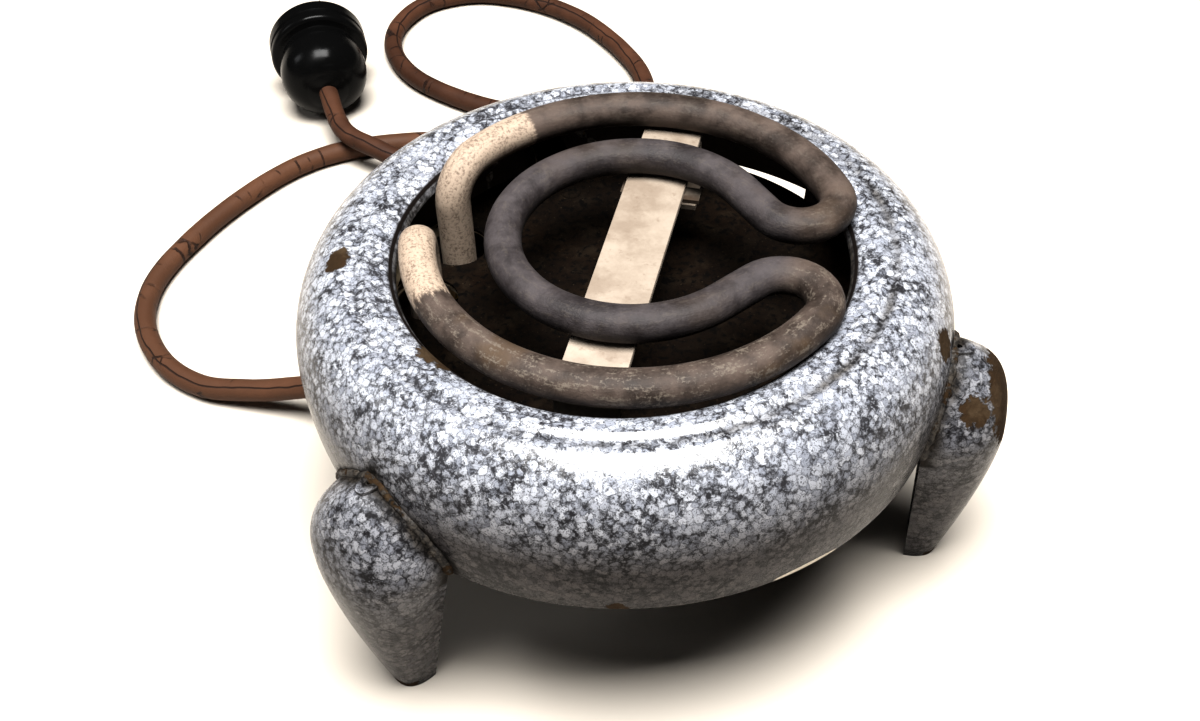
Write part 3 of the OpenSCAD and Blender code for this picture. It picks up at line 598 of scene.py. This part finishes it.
def tube_rings(path: Sequence[Vector], section: Callable[[int, float], Point], sides: int,
               first: Vector, last: Vector) -> list[list[Vector]]:
    """Rings of a tube along a path.

    Args:
        path: the centreline.
        section: gives (sideways, upward) for a ring's number and an angle.
        sides: points in a ring.
        first: direction at the start.
        last: direction at the end.

    Returns:
        One list of places for each ring.
    """
    rings = []
    for i, p in enumerate(path):
        if i == 0:
            t = first.normalized()
        elif i == len(path) - 1:
            t = last.normalized()
        else:
            t = ((path[i + 1] - p).normalized() + (p - path[i - 1]).normalized()).normalized()
        s = Vector((0, 0, 1)).cross(t).normalized()
        u = t.cross(s)
        ring = []
        for k in range(sides):
            a, b = section(i, math.tau * k / sides)
            ring.append(p + s * a + u * b)
        rings.append(ring)
    return rings


@dataclass
class Piece:
    """Puts a finished object into the frame."""

    finishes: Finishes

    def place(self, obj: bpy.types.Object, slot: Slot, *nodes: str) -> bpy.types.Object:
        """Tie a piece to its body and hide the CAD nodes it stands for."""
        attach(obj, BODY)
        if nodes:
            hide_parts(*nodes)
        return obj


# ---- body -------------------------------------------------------------------


FEET = {"foot_left": SIZES.foot_az - 120, "foot_right": SIZES.foot_az, "foot_rear": SIZES.foot_az + 120}


@dataclass(frozen=True)
class Foot:
    """Shape of a foot in its own plane, +X pointing out of the body."""

    root: float = SIZES.hem_r - 1.7 * MM
    knee: float = SIZES.hem_r + 19.3 * MM
    knee_z: float = SIZES.hem_z - 3 * MM
    tip: float = SIZES.hem_r + 7 * MM
    top: float = SIZES.hem_z + 25 * MM
    half: float = 20 * MM
    tip_half: float = 6 * MM
    sheet: float = 1.6 * MM

    def ridge(self, z: float) -> float:
        """How far the foot stands out at a height."""
        if z < self.knee_z:
            return self.knee - (self.knee - self.tip) * (1 - z / self.knee_z) ** 1.35
        u = (z - self.knee_z) / (self.top - self.knee_z)
        return self.root + (self.knee - self.root) * max(0.0, 1 - u ** 2.4) ** (1 / 2.4)

    def width(self, z: float) -> float:
        """Half width of the foot at a height."""
        flare = SIZES.hem_z + 3 * MM
        if z < flare:
            return self.tip_half + (self.half - self.tip_half) * z / flare
        return self.half * (1 - ((z - flare) / (self.top - flare)) ** 2)

    def outline(self, z: float, skin: float, sides: int) -> list[Point]:
        """Half-round outline at a height, inset by a skin."""
        depth = max(0.3 * MM, self.ridge(z) - skin - self.root)
        w = max(0.3 * MM, self.width(z) - skin)
        out = []
        for j in range(sides + 1):
            t = math.radians(-90 + 180 * j / sides)
            x = self.root + depth * abs(math.cos(t)) ** 0.8
            out.append((x, w * math.copysign(abs(math.sin(t)) ** 0.8, math.sin(t))))
        return out


FOOT = Foot()


def foot_distance(co: Vector, degrees: float) -> float:
    """Distance along the wall from a point to the edge of a foot, large when out of reach."""
    a = math.radians(-degrees)
    x = co.x * math.cos(a) - co.y * math.sin(a)
    y = co.x * math.sin(a) + co.y * math.cos(a)
    if x < 0.04 or co.z > FOOT.top + 12 * MM:
        return 1.0
    width = FOOT.width(min(co.z, FOOT.top)) if co.z > SIZES.hem_z else FOOT.width(SIZES.hem_z)
    over = max(0.0, co.z - FOOT.top)
    return math.hypot(max(0.0, abs(y) - width), over)


def near(co: Vector, x: float, y: float, z: float, reach: float) -> float:
    """One at a place and zero beyond a reach, with a soft edge."""
    return max(0.0, 1 - (co - Vector((x, y, z))).length / reach)


@dataclass
class Shell(Piece):
    """The enamelled body."""

    segments: int = 360

    def profile(self) -> list[Point]:
        """Closed profile of the sheet."""
        s = SIZES
        lip_centre = (s.opening_r + s.bead_w, s.crown_z - s.bead_drop - s.lip_drop)
        lip = arc(lip_centre, s.bead_w, s.lip_drop, 180, 96, 16)
        groove, r = [], s.crown_r
        while r < s.groove_r + s.groove_half + 0.6 * MM:
            d = abs(r - s.groove_r) / s.groove_half
            dip = s.groove_depth * math.cos(math.pi / 2 * d) ** 2 if d < 1 else 0.0
            groove.append((r, s.crown_height(r) - dip))
            r += 0.5 * MM
        u = (s.groove_r + s.groove_half + 1.2 * MM - s.crown_r) / (s.belly_r - s.crown_r)
        shoulder = arc((s.crown_r, s.belly_z), s.belly_r - s.crown_r, s.crown_z - s.belly_z,
                       math.degrees(math.acos(u)), 2, 30)
        heights = [s.belly_z, 74 * MM, 71 * MM, 68 * MM, s.vent_high, 63 * MM, s.vent_low]
        heights.append(s.hem_z + s.hem_roll)
        skirt = [(s.skirt_r(z), z) for z in heights]
        foot = s.skirt_r(s.hem_z + s.hem_roll) - s.hem_roll
        hem = arc((foot, s.hem_z + s.hem_roll), s.hem_roll, s.hem_roll, -15, -180, 10)
        line = lip + groove + shoulder + skirt + hem
        return line + shifted(line, s.sheet)[::-1]

    def cut_vent(self, mesh: Mesh) -> None:
        """Open the slot in both faces of the wall and line its edge."""
        s = SIZES
        half = math.degrees(s.vent_len / 2 / s.belly_r)

        def inside(face: bmesh.types.BMFace) -> bool:
            c = face.calc_center_median()
            turn = math.degrees(math.atan2(c.y, c.x)) - s.vent_az
            return (abs(turn) < half and s.vent_low < c.z < s.vent_high
                    and math.hypot(c.x, c.y) > s.hem_r - 3 * MM)

        faces = [f for f in mesh.bm.faces if inside(f)]
        bmesh.ops.delete(mesh.bm, geom=faces, context="FACES")
        rim = [e for e in mesh.bm.edges if e.is_boundary]
        bmesh.ops.bridge_loops(mesh.bm, edges=rim)

    def grime_and_shade(self, co: Vector) -> float:
        """Dirt at the feet and the lip, painted shade in the groove, deepest towards the front right, and a
        darker band along the bottom edge.
        """
        r = math.hypot(co.x, co.y)
        joint = min(foot_distance(co, a) for a in FEET.values())
        value = math.exp(-((joint / (4.5 * MM)) ** 2))
        value = max(value, 0.8 * math.exp(-(((r - SIZES.opening_r) / (2.2 * MM)) ** 2)))
        # Painted shade in the groove, strongest towards the front right.
        groove = 0.45 * math.exp(-(((r - SIZES.groove_r - 1 * MM) / (2.2 * MM)) ** 2))
        if co.z > SIZES.crown_z - 6 * MM:
            side = 0.5 + 0.5 * math.cos(math.atan2(co.y, co.x) - math.radians(-25))
            value = max(value, groove * (0.5 + side))
        return max(value, 0.55 * math.exp(-((co.z - SIZES.hem_z) / (4 * MM)) ** 2))

    def chip(self, co: Vector) -> float:
        """Bare rusty spots."""
        spots = ((-75.6, -1.5, 99.9, 3.6), (-75.9, -4.6, 99.8, 3.2), (-47.5, -38.5, 100.0, 4.6),
                 (-44.2, -42.0, 100.2, 3.4), (82.0, -28.5, 88.0, 5.0), (80.0, -32.0, 78.0, 4.0),
                 (-56.0, -66.0, 62.0, 4.0), (-3.0, -88.0, 58.0, 3.2))
        return max(1.25 * near(co, x * MM, y * MM, z * MM, reach * 1.5 * MM) for x, y, z, reach in spots)

    def bare(self, co: Vector) -> float:
        """The long pale chip under the front edge."""
        azimuth = math.degrees(math.atan2(co.y, co.x))
        along = max(0.0, 1 - abs(azimuth + 59.7) / 9.0)
        return along * (1.4 if co.z < SIZES.hem_z + 2.6 * MM else 0.0)

    def low(self, co: Vector) -> float:
        """Painted shade: how far the wall's colour is darkened below the shoulder, most at the front."""
        front = 0.5 - 0.5 * math.sin(math.atan2(co.y, co.x))
        down = min(1.0, max(0.0, (SIZES.crown_z - 4 * MM - co.z) / (24 * MM)))
        return (0.35 + 0.65 * front) * down

    def soot(self, co: Vector) -> float:
        """One on the inside of the sheet, which heat has blackened."""
        r = math.hypot(co.x, co.y)
        if co.z > SIZES.crown_z - 7 * MM:
            within = co.z < SIZES.crown_height(r) - 2.6 * MM and r > SIZES.opening_r + 0.8 * MM
            return 1.0 if within and r < SIZES.wall_r(co.z) - 0.8 * MM else 0.0
        return 1.0 if r < SIZES.wall_r(co.z) - 0.7 * MM else 0.0

    def build(self) -> None:
        """Make the body."""
        mesh = Mesh()
        mesh.revolve(self.profile(), self.segments)
        self.cut_vent(mesh)
        mesh.paint("grime_and_shade", self.grime_and_shade)
        mesh.paint("chip", self.chip)
        mesh.paint("bare", self.bare)
        mesh.paint("soot", self.soot)
        mesh.paint("low", self.low)
        obj = mesh.finish("body_shell_skin", self.finishes.made[Slot.ENAMEL], 50)
        self.place(obj, Slot.ENAMEL, "body_shell")


@dataclass
class Feet(Piece):
    """The three pressed feet and the cracked enamel along their joints."""

    sides: int = 44
    rings: int = 44

    def levels(self, top: float) -> list[float]:
        """Heights of the rings, closer together at the top."""
        return [top * math.sin(math.pi / 2 * i / self.rings) for i in range(self.rings + 1)]

    def build_foot(self, name: str, degrees: float) -> None:
        """Make one hollow foot that ends at the wall."""
        turn = Matrix.Rotation(math.radians(degrees), 3, "Z")
        outer, inner = [], []
        for z in self.levels(FOOT.top - 0.6 * MM):
            wall = SIZES.wall_r(z) if z > SIZES.hem_z else 0.0
            floor_z = max(z, FOOT.sheet * 1.5)
            for rings, skin, height in ((outer, 0.0, z), (inner, FOOT.sheet, floor_z)):
                ring = []
                for x, y in FOOT.outline(min(z, FOOT.top - 2.6 * MM) if skin else z, skin, self.sides):
                    if wall and math.hypot(x, y) < wall:
                        x = math.sqrt(max(wall * wall - y * y, 0.0)) - 0.2 * MM
                    ring.append(turn @ Vector((x, y, height)))
                rings.append(ring)
        sections = [o + i[::-1] for o, i in zip(outer, inner)]
        mesh = Mesh()
        mesh.loft(sections)
        obj = self.finished(mesh, name + "_skin", degrees)
        self.place(obj, Slot.ENAMEL, name)

    def finished(self, mesh: Mesh, name: str, degrees: float) -> bpy.types.Object:
        """Paint dirt, chips and painted shade on a foot and make its object."""
        turn = Matrix.Rotation(math.radians(-degrees), 3, "Z")
        right = abs(degrees - SIZES.foot_az) < 1

        # Dirt along the joint with the wall, and a darker band where the foot meets the floor.
        def grime_and_shade(co: Vector) -> float:
            gap = math.hypot(co.x, co.y) - SIZES.wall_r(co.z)
            joint = math.exp(-((max(gap, 0.0) / (5 * MM)) ** 2)) if co.z > SIZES.hem_z - 4 * MM else 0.0
            return max(joint, 0.6 * math.exp(-((co.z / (6 * MM)) ** 2)))

        def chip(co: Vector) -> float:
            at = turn @ co
            value = 1.1 * max(0.0, 1 - at.z / (5 * MM)) * (1 if at.x > FOOT.tip - 3 * MM else 0.3)
            if right:
                value = max(value, 1.9 * near(at, 107 * MM, 2 * MM, 66 * MM, 19 * MM))
                value = max(value, 1.2 * near(at, 98 * MM, -14 * MM, 72 * MM, 8 * MM))
            return value

        # Painted shade: the foot's colour darkens towards the floor.
        def low(co: Vector) -> float:
            return 0.45 + 0.5 * min(1.0, max(0.0, (FOOT.top - co.z) / (45 * MM)))

        mesh.paint("grime_and_shade", grime_and_shade)
        mesh.paint("chip", chip)
        mesh.paint("low", low)
        return mesh.finish(name, self.finishes.made[Slot.ENAMEL], 55)

    def build_joint(self, name: str, degrees: float) -> None:
        """Make the raised, broken line of enamel where a foot meets the wall."""
        turn = Matrix.Rotation(math.radians(degrees), 3, "Z")
        path = []
        steps = 90
        for i in range(steps + 1):
            side = -1 if i < steps / 2 else 1
            u = abs(i - steps / 2) / (steps / 2)
            z = SIZES.hem_z + 1 * MM + (FOOT.top - 2.2 * MM - SIZES.hem_z) * (1 - u ** 2.2)
            wall = SIZES.wall_r(z)
            crossing = min(FOOT.outline(z, 0.0, 160),
                           key=lambda p: abs(math.hypot(*p) - wall) + (0 if p[1] * side >= 0 else 1))
            y = crossing[1] * (1 if u > 0.04 else 0)
            path.append(turn @ Vector((math.sqrt(max(wall * wall - y * y, 0)), y, z)))
        path = [sum((path[max(0, min(steps, i + d))] for d in (-2, -1, 0, 1, 2)), Vector()) / 5
                for i in range(steps + 1)]

        def section(i: int, a: float) -> Point:
            r = (1.5 + 0.9 * noise.noise(path[i] * 420)) * MM
            return r * math.cos(a), r * math.sin(a)

        mesh = Mesh()
        mesh.loft(tube_rings(path, section, 10, path[1] - path[0], path[-1] - path[-2]))
        mesh.paint("grime_and_shade", lambda co: 1.0)
        mesh.paint("chip", lambda co: 0.42 + 0.35 * noise.noise(co * 160))
        obj = mesh.finish(name + "_joint", self.finishes.made[Slot.ENAMEL], 60)
        self.place(obj, Slot.ENAMEL)

    def build(self) -> None:
        """Make all the feet."""
        for name, degrees in FEET.items():
            self.build_foot(name, degrees)
            self.build_joint(name, degrees)


# ---- coil and bar -----------------------------------------------------------


@dataclass
class Coil(Piece):
    """The heating tube."""

    outer: float = SIZES.opening_r - 3.5 * MM
    pitch: float = 22.5 * MM
    lobe: float = 10.5 * MM
    bend: float = 11 * MM
    upper: float = 15.5
    lower: float = -37.0
    end_a: float = 139.5
    end_b: float = 185.0
    leg_z: float = SIZES.pan_z - 10 * MM
    step: float = 1.8 * MM

    def level(self, centre: Point, r: float, start: float, end: float, skip: int = 1) -> list[Vector]:
        """Points of a level arc."""
        n = math.ceil(abs(end - start) * r / self.step / 57.3)
        out = []
        for i in range(skip, n + 1):
            x, y = polar(r, start + (end - start) * i / n)
            out.append(Vector((SIZES.element_x + centre[0] + x, centre[1] + y, SIZES.element_z)))
        return out

    def end(self, azimuth: float, turn: int) -> list[Vector]:
        """Points from the foot of a cold leg up to the outer turn."""
        x, y = polar(self.outer, azimuth)
        tx, ty = polar(1, azimuth + 90)
        bend = []
        for k in range(17):
            u = math.radians(90 - 90 * k / 16)
            away = turn * self.bend * math.sin(u)
            bend.append(Vector((SIZES.element_x + x + away * tx, y + away * ty,
                                SIZES.element_z - self.bend * (1 - math.cos(u)))))
        leg = [Vector((bend[0].x, bend[0].y, self.leg_z))]
        return leg + bend

    def path(self) -> list[Vector]:
        """The whole centreline."""
        inner = self.outer - self.pitch
        ring = self.outer - self.lobe
        turn = math.degrees(math.acos((inner + self.lobe) / ring))
        first = self.level(polar(ring, self.upper), self.lobe, self.upper, self.upper - 180 + turn)
        middle = self.level((0, 0), inner, self.upper + turn, 360 + self.lower - turn, 0)
        second = self.level(polar(ring, self.lower), self.lobe, self.lower + 180 - turn, self.lower, 0)

        def straight(a: Vector, b: Vector) -> list[Vector]:
            n = max(2, round((b - a).length / self.step))
            return [a.lerp(b, i / n) for i in range(1, n)]

        return (self.end(self.end_a, 1) + self.level((0, 0), self.outer, self.end_a, self.upper)
                + first + straight(first[-1], middle[0]) + middle + straight(middle[-1], second[0]) + second
                + self.level((0, 0), self.outer, 360 + self.lower, self.end_b)
                + self.end(self.end_b, -1)[::-1][1:])

    def build(self) -> None:
        """Make the tube, flattened on top, with its tan ends."""
        path = self.path()
        half = SIZES.tube_d / 2 - 0.05 * MM
        run = lengths(path)
        total = run[-1]

        def section(i: int, a: float) -> Point:
            level = min(1.0, max(0.0, (path[i].z - SIZES.element_z + self.bend) / self.bend))
            flat = 1 - 0.10 * level * max(0.0, math.sin(a)) ** 1.5
            dent = 1 - 0.006 * (1 + noise.noise(path[i] * 90))
            return half * dent * math.cos(a), half * dent * flat * math.sin(a)

        lean_a, lean_b = polar(0.001, self.end_a + 90), polar(0.001, self.end_b + 90)
        mesh = Mesh()
        sides = 28
        mesh.loft(tube_rings(path, section, sides, Vector((-lean_a[0], -lean_a[1], 1)),
                             Vector((-lean_b[0], -lean_b[1], -1))))
        cold = mesh.bm.verts.layers.float.new("cold")
        inner = mesh.bm.verts.layers.float.new("inner")
        scuff = mesh.bm.verts.layers.float.new("scuff")
        along = mesh.bm.verts.layers.float.new("along")
        round_ = mesh.bm.verts.layers.float.new("round")
        mesh.bm.verts.ensure_lookup_table()
        for n, vert in enumerate(mesh.bm.verts):
            i = n // sides
            s = run[min(i, len(run) - 1)]
            vert[along] = s
            turn = (n % sides) / sides
            vert[round_] = min(turn, 1 - turn) * 2
            vert[cold] = max(self.fade(s, 61 * MM, 5 * MM), self.fade(total - s, 64 * MM, 10 * MM))
            r = math.hypot(vert.co.x - SIZES.element_x, vert.co.y)
            vert[inner] = max(0.0, min(1.0, (46 * MM - r) / (6 * MM)))
            # The scuff weight grows towards the front; it sets the pale scuffs and the painted bounce light
            # in brown.
            front = max(0.0, min(1.0, (-vert.co.y + 12 * MM) / (50 * MM)))
            vert[scuff] = 0.25 + 0.75 * front if r > 46 * MM else 0.2
        obj = mesh.finish("heating_element_tube", self.finishes.made[Slot.SHEATH], 60)
        self.place(obj, Slot.SHEATH, "heating_element")

    @staticmethod
    def fade(s: float, length: float, width: float) -> float:
        """One before a length along the tube and zero after it."""
        return max(0.0, min(1.0, 0.5 + (length - s) / (2 * width)))


@dataclass
class Bar(Piece):
    """The bar across the pan, under the coil."""

    bar_az: float = 76.6
    bar_w: float = 16.8 * MM
    bar_t: float = 1.6 * MM

    def build(self) -> None:
        """Make the bar with its bent legs."""
        top = SIZES.element_z - SIZES.tube_d / 2
        half = SIZES.pan_r - 11.8 * MM
        t, foot, low = self.bar_t, 9 * MM, SIZES.pan_z
        edge = [(-half, low), (-half, top - 1 * MM)]
        edge += [(-half + 0.3 * MM, top - 0.3 * MM), (-half + 1 * MM, top)]
        edge += [(-x, y) for x, y in edge[::-1]]
        edge += [(half - foot, low), (half - foot, low + t), (half - t, low + t), (half - t, top - t)]
        edge += [(-half + t, top - t), (-half + t, low + t), (-half + foot, low + t), (-half + foot, low)]
        turn = Matrix.Rotation(math.radians(self.bar_az), 3, "Z")
        shift = Vector((SIZES.element_x, 0, 0))
        cuts = [-1, -0.985, -0.96, 0, 0.96, 0.985, 1]
        rings = []
        for c in cuts:
            inset = 0.25 * MM if abs(c) == 1 else 0.0
            ring = []
            for x, z in edge:
                dz = -inset if z > top - 1.2 * MM and z > low + t + 0.2 * MM else 0.0
                ring.append(turn @ Vector((x, c * self.bar_w / 2, z + dz)) + shift)
            rings.append(ring)
        mesh = Mesh()
        mesh.loft(rings)
        obj = mesh.finish("support_bar_strip", self.finishes.made[Slot.BAR], 30)
        self.place(obj, Slot.BAR, "support_bar")


# ---- cord and plug ----------------------------------------------------------


@dataclass(frozen=True)
class Sleeve:
    """Where the cord's sleeve sits on the terminal cover, as in the CAD source."""

    azimuth: float = 160.0
    slope: float = 45.0
    length: float = 22 * MM
    leg_reach: float = 25.8 * MM
    wall_r: float = 32 * MM
    rise: float = 8 * MM
    cover_depth: float = 30 * MM
    cover_gap: float = 1.6 * MM

    @property
    def direction(self) -> Vector:
        """The way the sleeve points, outward and down."""
        slope = math.radians(self.slope)
        return Vector((*polar(math.cos(slope), self.azimuth), -math.sin(slope)))

    @property
    def tip(self) -> Vector:
        """The cord's exit."""
        legs = []
        for azimuth, turn in ((Coil.end_a, 1), (Coil.end_b, -1)):
            x, y = polar(Coil.outer, azimuth)
            tx, ty = polar(turn * Coil.bend, azimuth + 90)
            legs.append(Vector((SIZES.element_x + x + tx, y + ty, 0)))
        cover = (legs[0] + legs[1]) / 2 - Vector((*polar(self.leg_reach, self.azimuth), 0))
        bottom = SIZES.pan_z - self.cover_gap - self.cover_depth
        place = cover + Vector((*polar(self.wall_r, self.azimuth), bottom + self.rise))
        return place + self.length * self.direction


SLEEVE = Sleeve()


@dataclass
class CordSet(Piece):
    """The free cord with its plug."""

    diameter: float = 7.7 * MM
    plug_len: float = 36 * MM
    flange_d: float = 38.6 * MM
    dome_d: float = 34 * MM

    HANG = (
        (-9.3, 3.3, 0.69), (-21.3, 7.8, 0.42), (-36.3, 12.8, 0.22), (-52.3, 16.8, 0.09),
        (-69.3, 22.3, 0.01),
    )
    LAY = (
        (-84.3, 34.3, 0), (-94.3, 53.3, 0), (-95.3, 74.3, 0), (-86.8, 97.3, 0), (-72.3, 120.8, 0),
        (-54.3, 140.8, 0), (-33.3, 151.8, 0), (-5.3, 155.8, 0), (22.7, 153.8, 0), (48.7, 154.8, 0),
        (69.7, 162.3, 0), (81.7, 179.3, 0), (80.7, 199.3, 0), (70.7, 221.3, 0), (55.7, 241.8, 0),
        (34.7, 257.3, 0), (10.7, 264.3, 0), (-10.3, 258.3, 0), (-22.3, 241.3, 0), (-23.3, 221.3, 0),
        (-13.3, 201.3, 0), (4.7, 185.8, 0), (26.7, 173.3, 0.13), (49.7, 166.8, 0.65), (72.7, 163.8, 1.06),
        (91.7, 154.8, 0.52), (100.7, 136.3, 0.06), (93.7, 115.3, 0), (73.7, 104.8, 0), (46.7, 107.8, 0),
        (8.7, 125.8, 0.19), (-19.3, 140.3, 0.91), (-35.3, 152.3, 1.12),
    )

    @property
    def plug_dir(self) -> Vector:
        """The way the plug points."""
        a, b = math.radians(104), math.radians(4.7)
        return Vector((math.cos(a) * math.cos(b), math.sin(a) * math.cos(b), math.sin(b)))

    def tail(self) -> Vector:
        """Where the cord enters the plug."""
        tip = SLEEVE.tip
        return Vector((tip.x - 43.3 * MM, tip.y + 172.8 * MM, self.flange_d / 2 - 3.3 * MM))

    def path(self, steps: int) -> list[Vector]:
        """The cord's centreline."""
        tip = SLEEVE.tip
        rest = self.diameter / 2 + 0.15 * MM
        points = [tip]
        for x, y, h in self.HANG:
            points.append(Vector((tip.x + x * MM, tip.y + y * MM, rest + h * (tip.z - rest))))
        for x, y, h in self.LAY:
            points.append(Vector((tip.x + x * MM, tip.y + y * MM, rest + h * self.diameter)))
        points.append(self.tail())
        return smooth_line(points, steps)

    def build_cord(self) -> tuple[bpy.types.Object, list[Vector], float]:
        """Make the cord with its shallow dents."""
        path = self.path(8)
        run = lengths(path)

        def section(i: int, a: float) -> Point:
            dent = noise.noise(Vector((run[i] * 130, math.cos(a), math.sin(a))))
            r = self.diameter / 2 * (0.965 + 0.03 * dent)
            return r * math.cos(a), r * math.sin(a)

        sides = 20
        mesh = Mesh()
        mesh.loft(tube_rings(path, section, sides, SLEEVE.direction, self.plug_dir))
        along = mesh.bm.verts.layers.float.new("along")
        round_ = mesh.bm.verts.layers.float.new("round")
        fade = mesh.bm.verts.layers.float.new("fade")
        for n, vert in enumerate(mesh.bm.verts):
            i = min(n // sides, len(run) - 1)
            vert[along] = run[i]
            turn = (n % sides) / sides
            vert[round_] = min(turn, 1 - turn) * 2
            vert[fade] = 1.0 if run[i] < 0.28 else 0.25
        obj = mesh.finish("power_cord_tube", self.finishes.made[Slot.CORD], 70)
        self.place(obj, Slot.CORD, "power_cord")
        return obj, path, run[-1]

    def build_plug(self) -> bpy.types.Object:
        """Make the plug's body: dome, waist and ringed flange."""
        fr, dr = self.flange_d / 2, self.dome_d / 2
        hole = self.diameter / 2 + 2.2 * MM
        back = self.plug_len - 12.5 * MM
        line = [(0.0005, 0.05 * MM), (hole, 0.05 * MM)]
        line += arc((hole, back * 0.55), dr - hole, back * 0.55 - 1 * MM, 280, 360, 24)
        line += [(dr, back * 0.66), (dr - 0.2 * MM, back * 0.74), (dr - 1.2 * MM, back - 2 * MM),
                 (dr - 1.7 * MM, back - 0.8 * MM), (dr - 1.7 * MM, back + 0.4 * MM),
                 (dr - 1.3 * MM, back + 0.6 * MM)]
        line += arc((fr - 2 * MM, back + 2.6 * MM), 2 * MM, 2 * MM, 275, 360, 6)
        line += [(fr, back + 4.4 * MM), (fr - 0.3 * MM, back + 4.7 * MM), (fr - 0.8 * MM, back + 5.1 * MM),
                 (fr - 0.8 * MM, back + 5.9 * MM), (fr - 0.3 * MM, back + 6.3 * MM), (fr, back + 6.6 * MM),
                 (fr, self.plug_len - 2 * MM)]
        line += arc((fr - 1.6 * MM, self.plug_len - 1.6 * MM), 1.6 * MM, 1.6 * MM, 10, 90, 6)
        line += [(15.4 * MM, self.plug_len), (15 * MM, self.plug_len - 0.3 * MM),
                 (14.6 * MM, self.plug_len - 0.8 * MM), (14.5 * MM, self.plug_len - 10 * MM),
                 (0.0005, self.plug_len - 10 * MM)]
        mesh = Mesh()
        mesh.revolve(line, 120)
        turn = self.plug_dir.to_track_quat("Z", "Y").to_matrix().to_4x4()
        bmesh.ops.transform(mesh.bm, matrix=Matrix.Translation(self.tail()) @ turn, verts=mesh.bm.verts)
        obj = mesh.finish("plug_body_moulding", self.finishes.made[Slot.PHENOLIC], 35)
        return self.place(obj, Slot.PHENOLIC, "plug_body")

    def build(self, nodes: dict[str, bpy.types.Object]) -> None:
        cord, path, length = self.build_cord()
        plug = self.build_plug()
        LOG.info("cord length %.3f m", length)


# ---- room -------------------------------------------------------------------


class Studio:
    """Camera, floor and lights."""

    def camera(self) -> None:
        """Look at the burner from above the front."""
        data = bpy.data.cameras.new("camera")
        data.sensor_width = 36
        data.lens = 46.5
        data.clip_start = 0.01
        obj = bpy.data.objects.new("camera", data)
        tilt, roll, turn = 45.714, 1.551, -0.234
        obj.rotation_euler = [math.radians(a) for a in (tilt, roll, turn)]
        obj.location = (0, -0.316, 0.3657)
        bpy.context.scene.collection.objects.link(obj)
        bpy.context.scene.camera = obj

    def lamp(self, name: str, at: tuple, size: tuple, watts: float, tint: tuple) -> None:
        """A soft rectangular light aimed at the burner."""
        data = bpy.data.lights.new(name, "AREA")
        data.shape = "RECTANGLE"
        data.size, data.size_y = size
        data.energy = watts
        data.color = tint
        obj = bpy.data.objects.new(name, data)
        obj.location = at
        aim = (Vector((0, 0, 0.06)) - Vector(at)).to_track_quat("-Z", "Y")
        obj.rotation_euler = aim.to_euler()
        bpy.context.scene.collection.objects.link(obj)

    def floor(self) -> None:
        """A pale table top."""
        mesh = Mesh()
        bmesh.ops.create_grid(mesh.bm, x_segments=1, y_segments=1, size=4.0)
        material = bpy.data.materials.new("table")
        material.use_nodes = True
        g = Graph(material.node_tree)
        shader = material.node_tree.nodes["Principled BSDF"]
        where = g.add("ShaderNodeTexCoord").outputs["Object"]
        clouds = g.noise(where, 5.0, 3.0, 0.5)
        g.feed(shader.inputs["Base Color"], g.mix(clouds, (0.50, 0.455, 0.395), (0.54, 0.50, 0.45)))
        shader.inputs["Roughness"].default_value = 0.7
        g.feed(shader.inputs["Normal"], g.bump(g.noise(where, 600.0), 0.03, 0.0002))
        mesh.finish("table_top", material)

    def light(self) -> None:
        """Overhead softbox, narrow front light, small side light and a dim room."""
        self.lamp("overhead", (0.05, -0.34, 2.0), (1.2, 1.0), 132, (1.0, 0.995, 0.985))
        self.lamp("front_strip", (-0.02, -1.05, 1.75), (0.85, 0.03), 0.6, (1.0, 1.0, 1.0))
        self.lamp("left_window", (-1.5, 0.1, 1.0), (0.5, 0.5), 5.0, (0.96, 0.98, 1.0))
        world = bpy.data.worlds.new("room")
        world.use_nodes = True
        world.node_tree.nodes["Background"].inputs[0].default_value = (1.0, 0.985, 0.96, 1)
        world.node_tree.nodes["Background"].inputs[1].default_value = 0.02
        bpy.context.scene.world = world
        view = bpy.context.scene.view_settings
        view.view_transform = "Standard"
        view.look = "None"
        view.gamma = 0.8
        view.exposure = 0.12


NODE_SLOTS: dict[str, Slot] = {
    "drip_pan": Slot.RUSTED, "pan_arms": Slot.RUSTED, "pan_rivets": Slot.RUSTED, "arm_bolts": Slot.STEEL,
    "arm_nuts": Slot.STEEL, "end_seals": Slot.CERAMIC, "terminal_studs": Slot.BRASS,
    "terminal_nuts": Slot.BRASS, "ring_lugs": Slot.BRASS, "lead_live": Slot.LEAD, "lead_neutral": Slot.LEAD,
    "bar_rivets": Slot.STEEL, "element_clips": Slot.STEEL, "mica_sheet": Slot.MICA,
    "terminal_cover": Slot.DARK, "cover_posts": Slot.STEEL, "cover_screws": Slot.STEEL,
    "cord_sleeve": Slot.RUBBER, "cord_clamp": Slot.STEEL,
    "clamp_screws": Slot.STEEL, "cord_inner": Slot.CORD, "plug_face": Slot.FIBRE, "plug_blades": Slot.BRASS,
    "plug_screws": Slot.BRASS,
}


def dress(nodes: dict[str, bpy.types.Object], finishes: Finishes) -> None:
    """Give the CAD nodes that are shown as they are their materials."""
    for name, slot in NODE_SLOTS.items():
        mesh = nodes[name].data
        mesh.materials.clear()
        mesh.materials.append(finishes.made[slot])


def main() -> None:
    """Build the scene in order."""
    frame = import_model()
    studio = Studio()
    studio.camera()
    finishes = Finishes()
    nodes = frame["nodes"]
    CordSet(finishes).build(nodes)
    dress(nodes, finishes)
    Shell(finishes).build()
    Feet(finishes).build()
    Coil(finishes).build()
    Bar(finishes).build()
    studio.floor()
    studio.light()


if __name__ == "__main__":
    logging.basicConfig(level=logging.INFO)
    main()
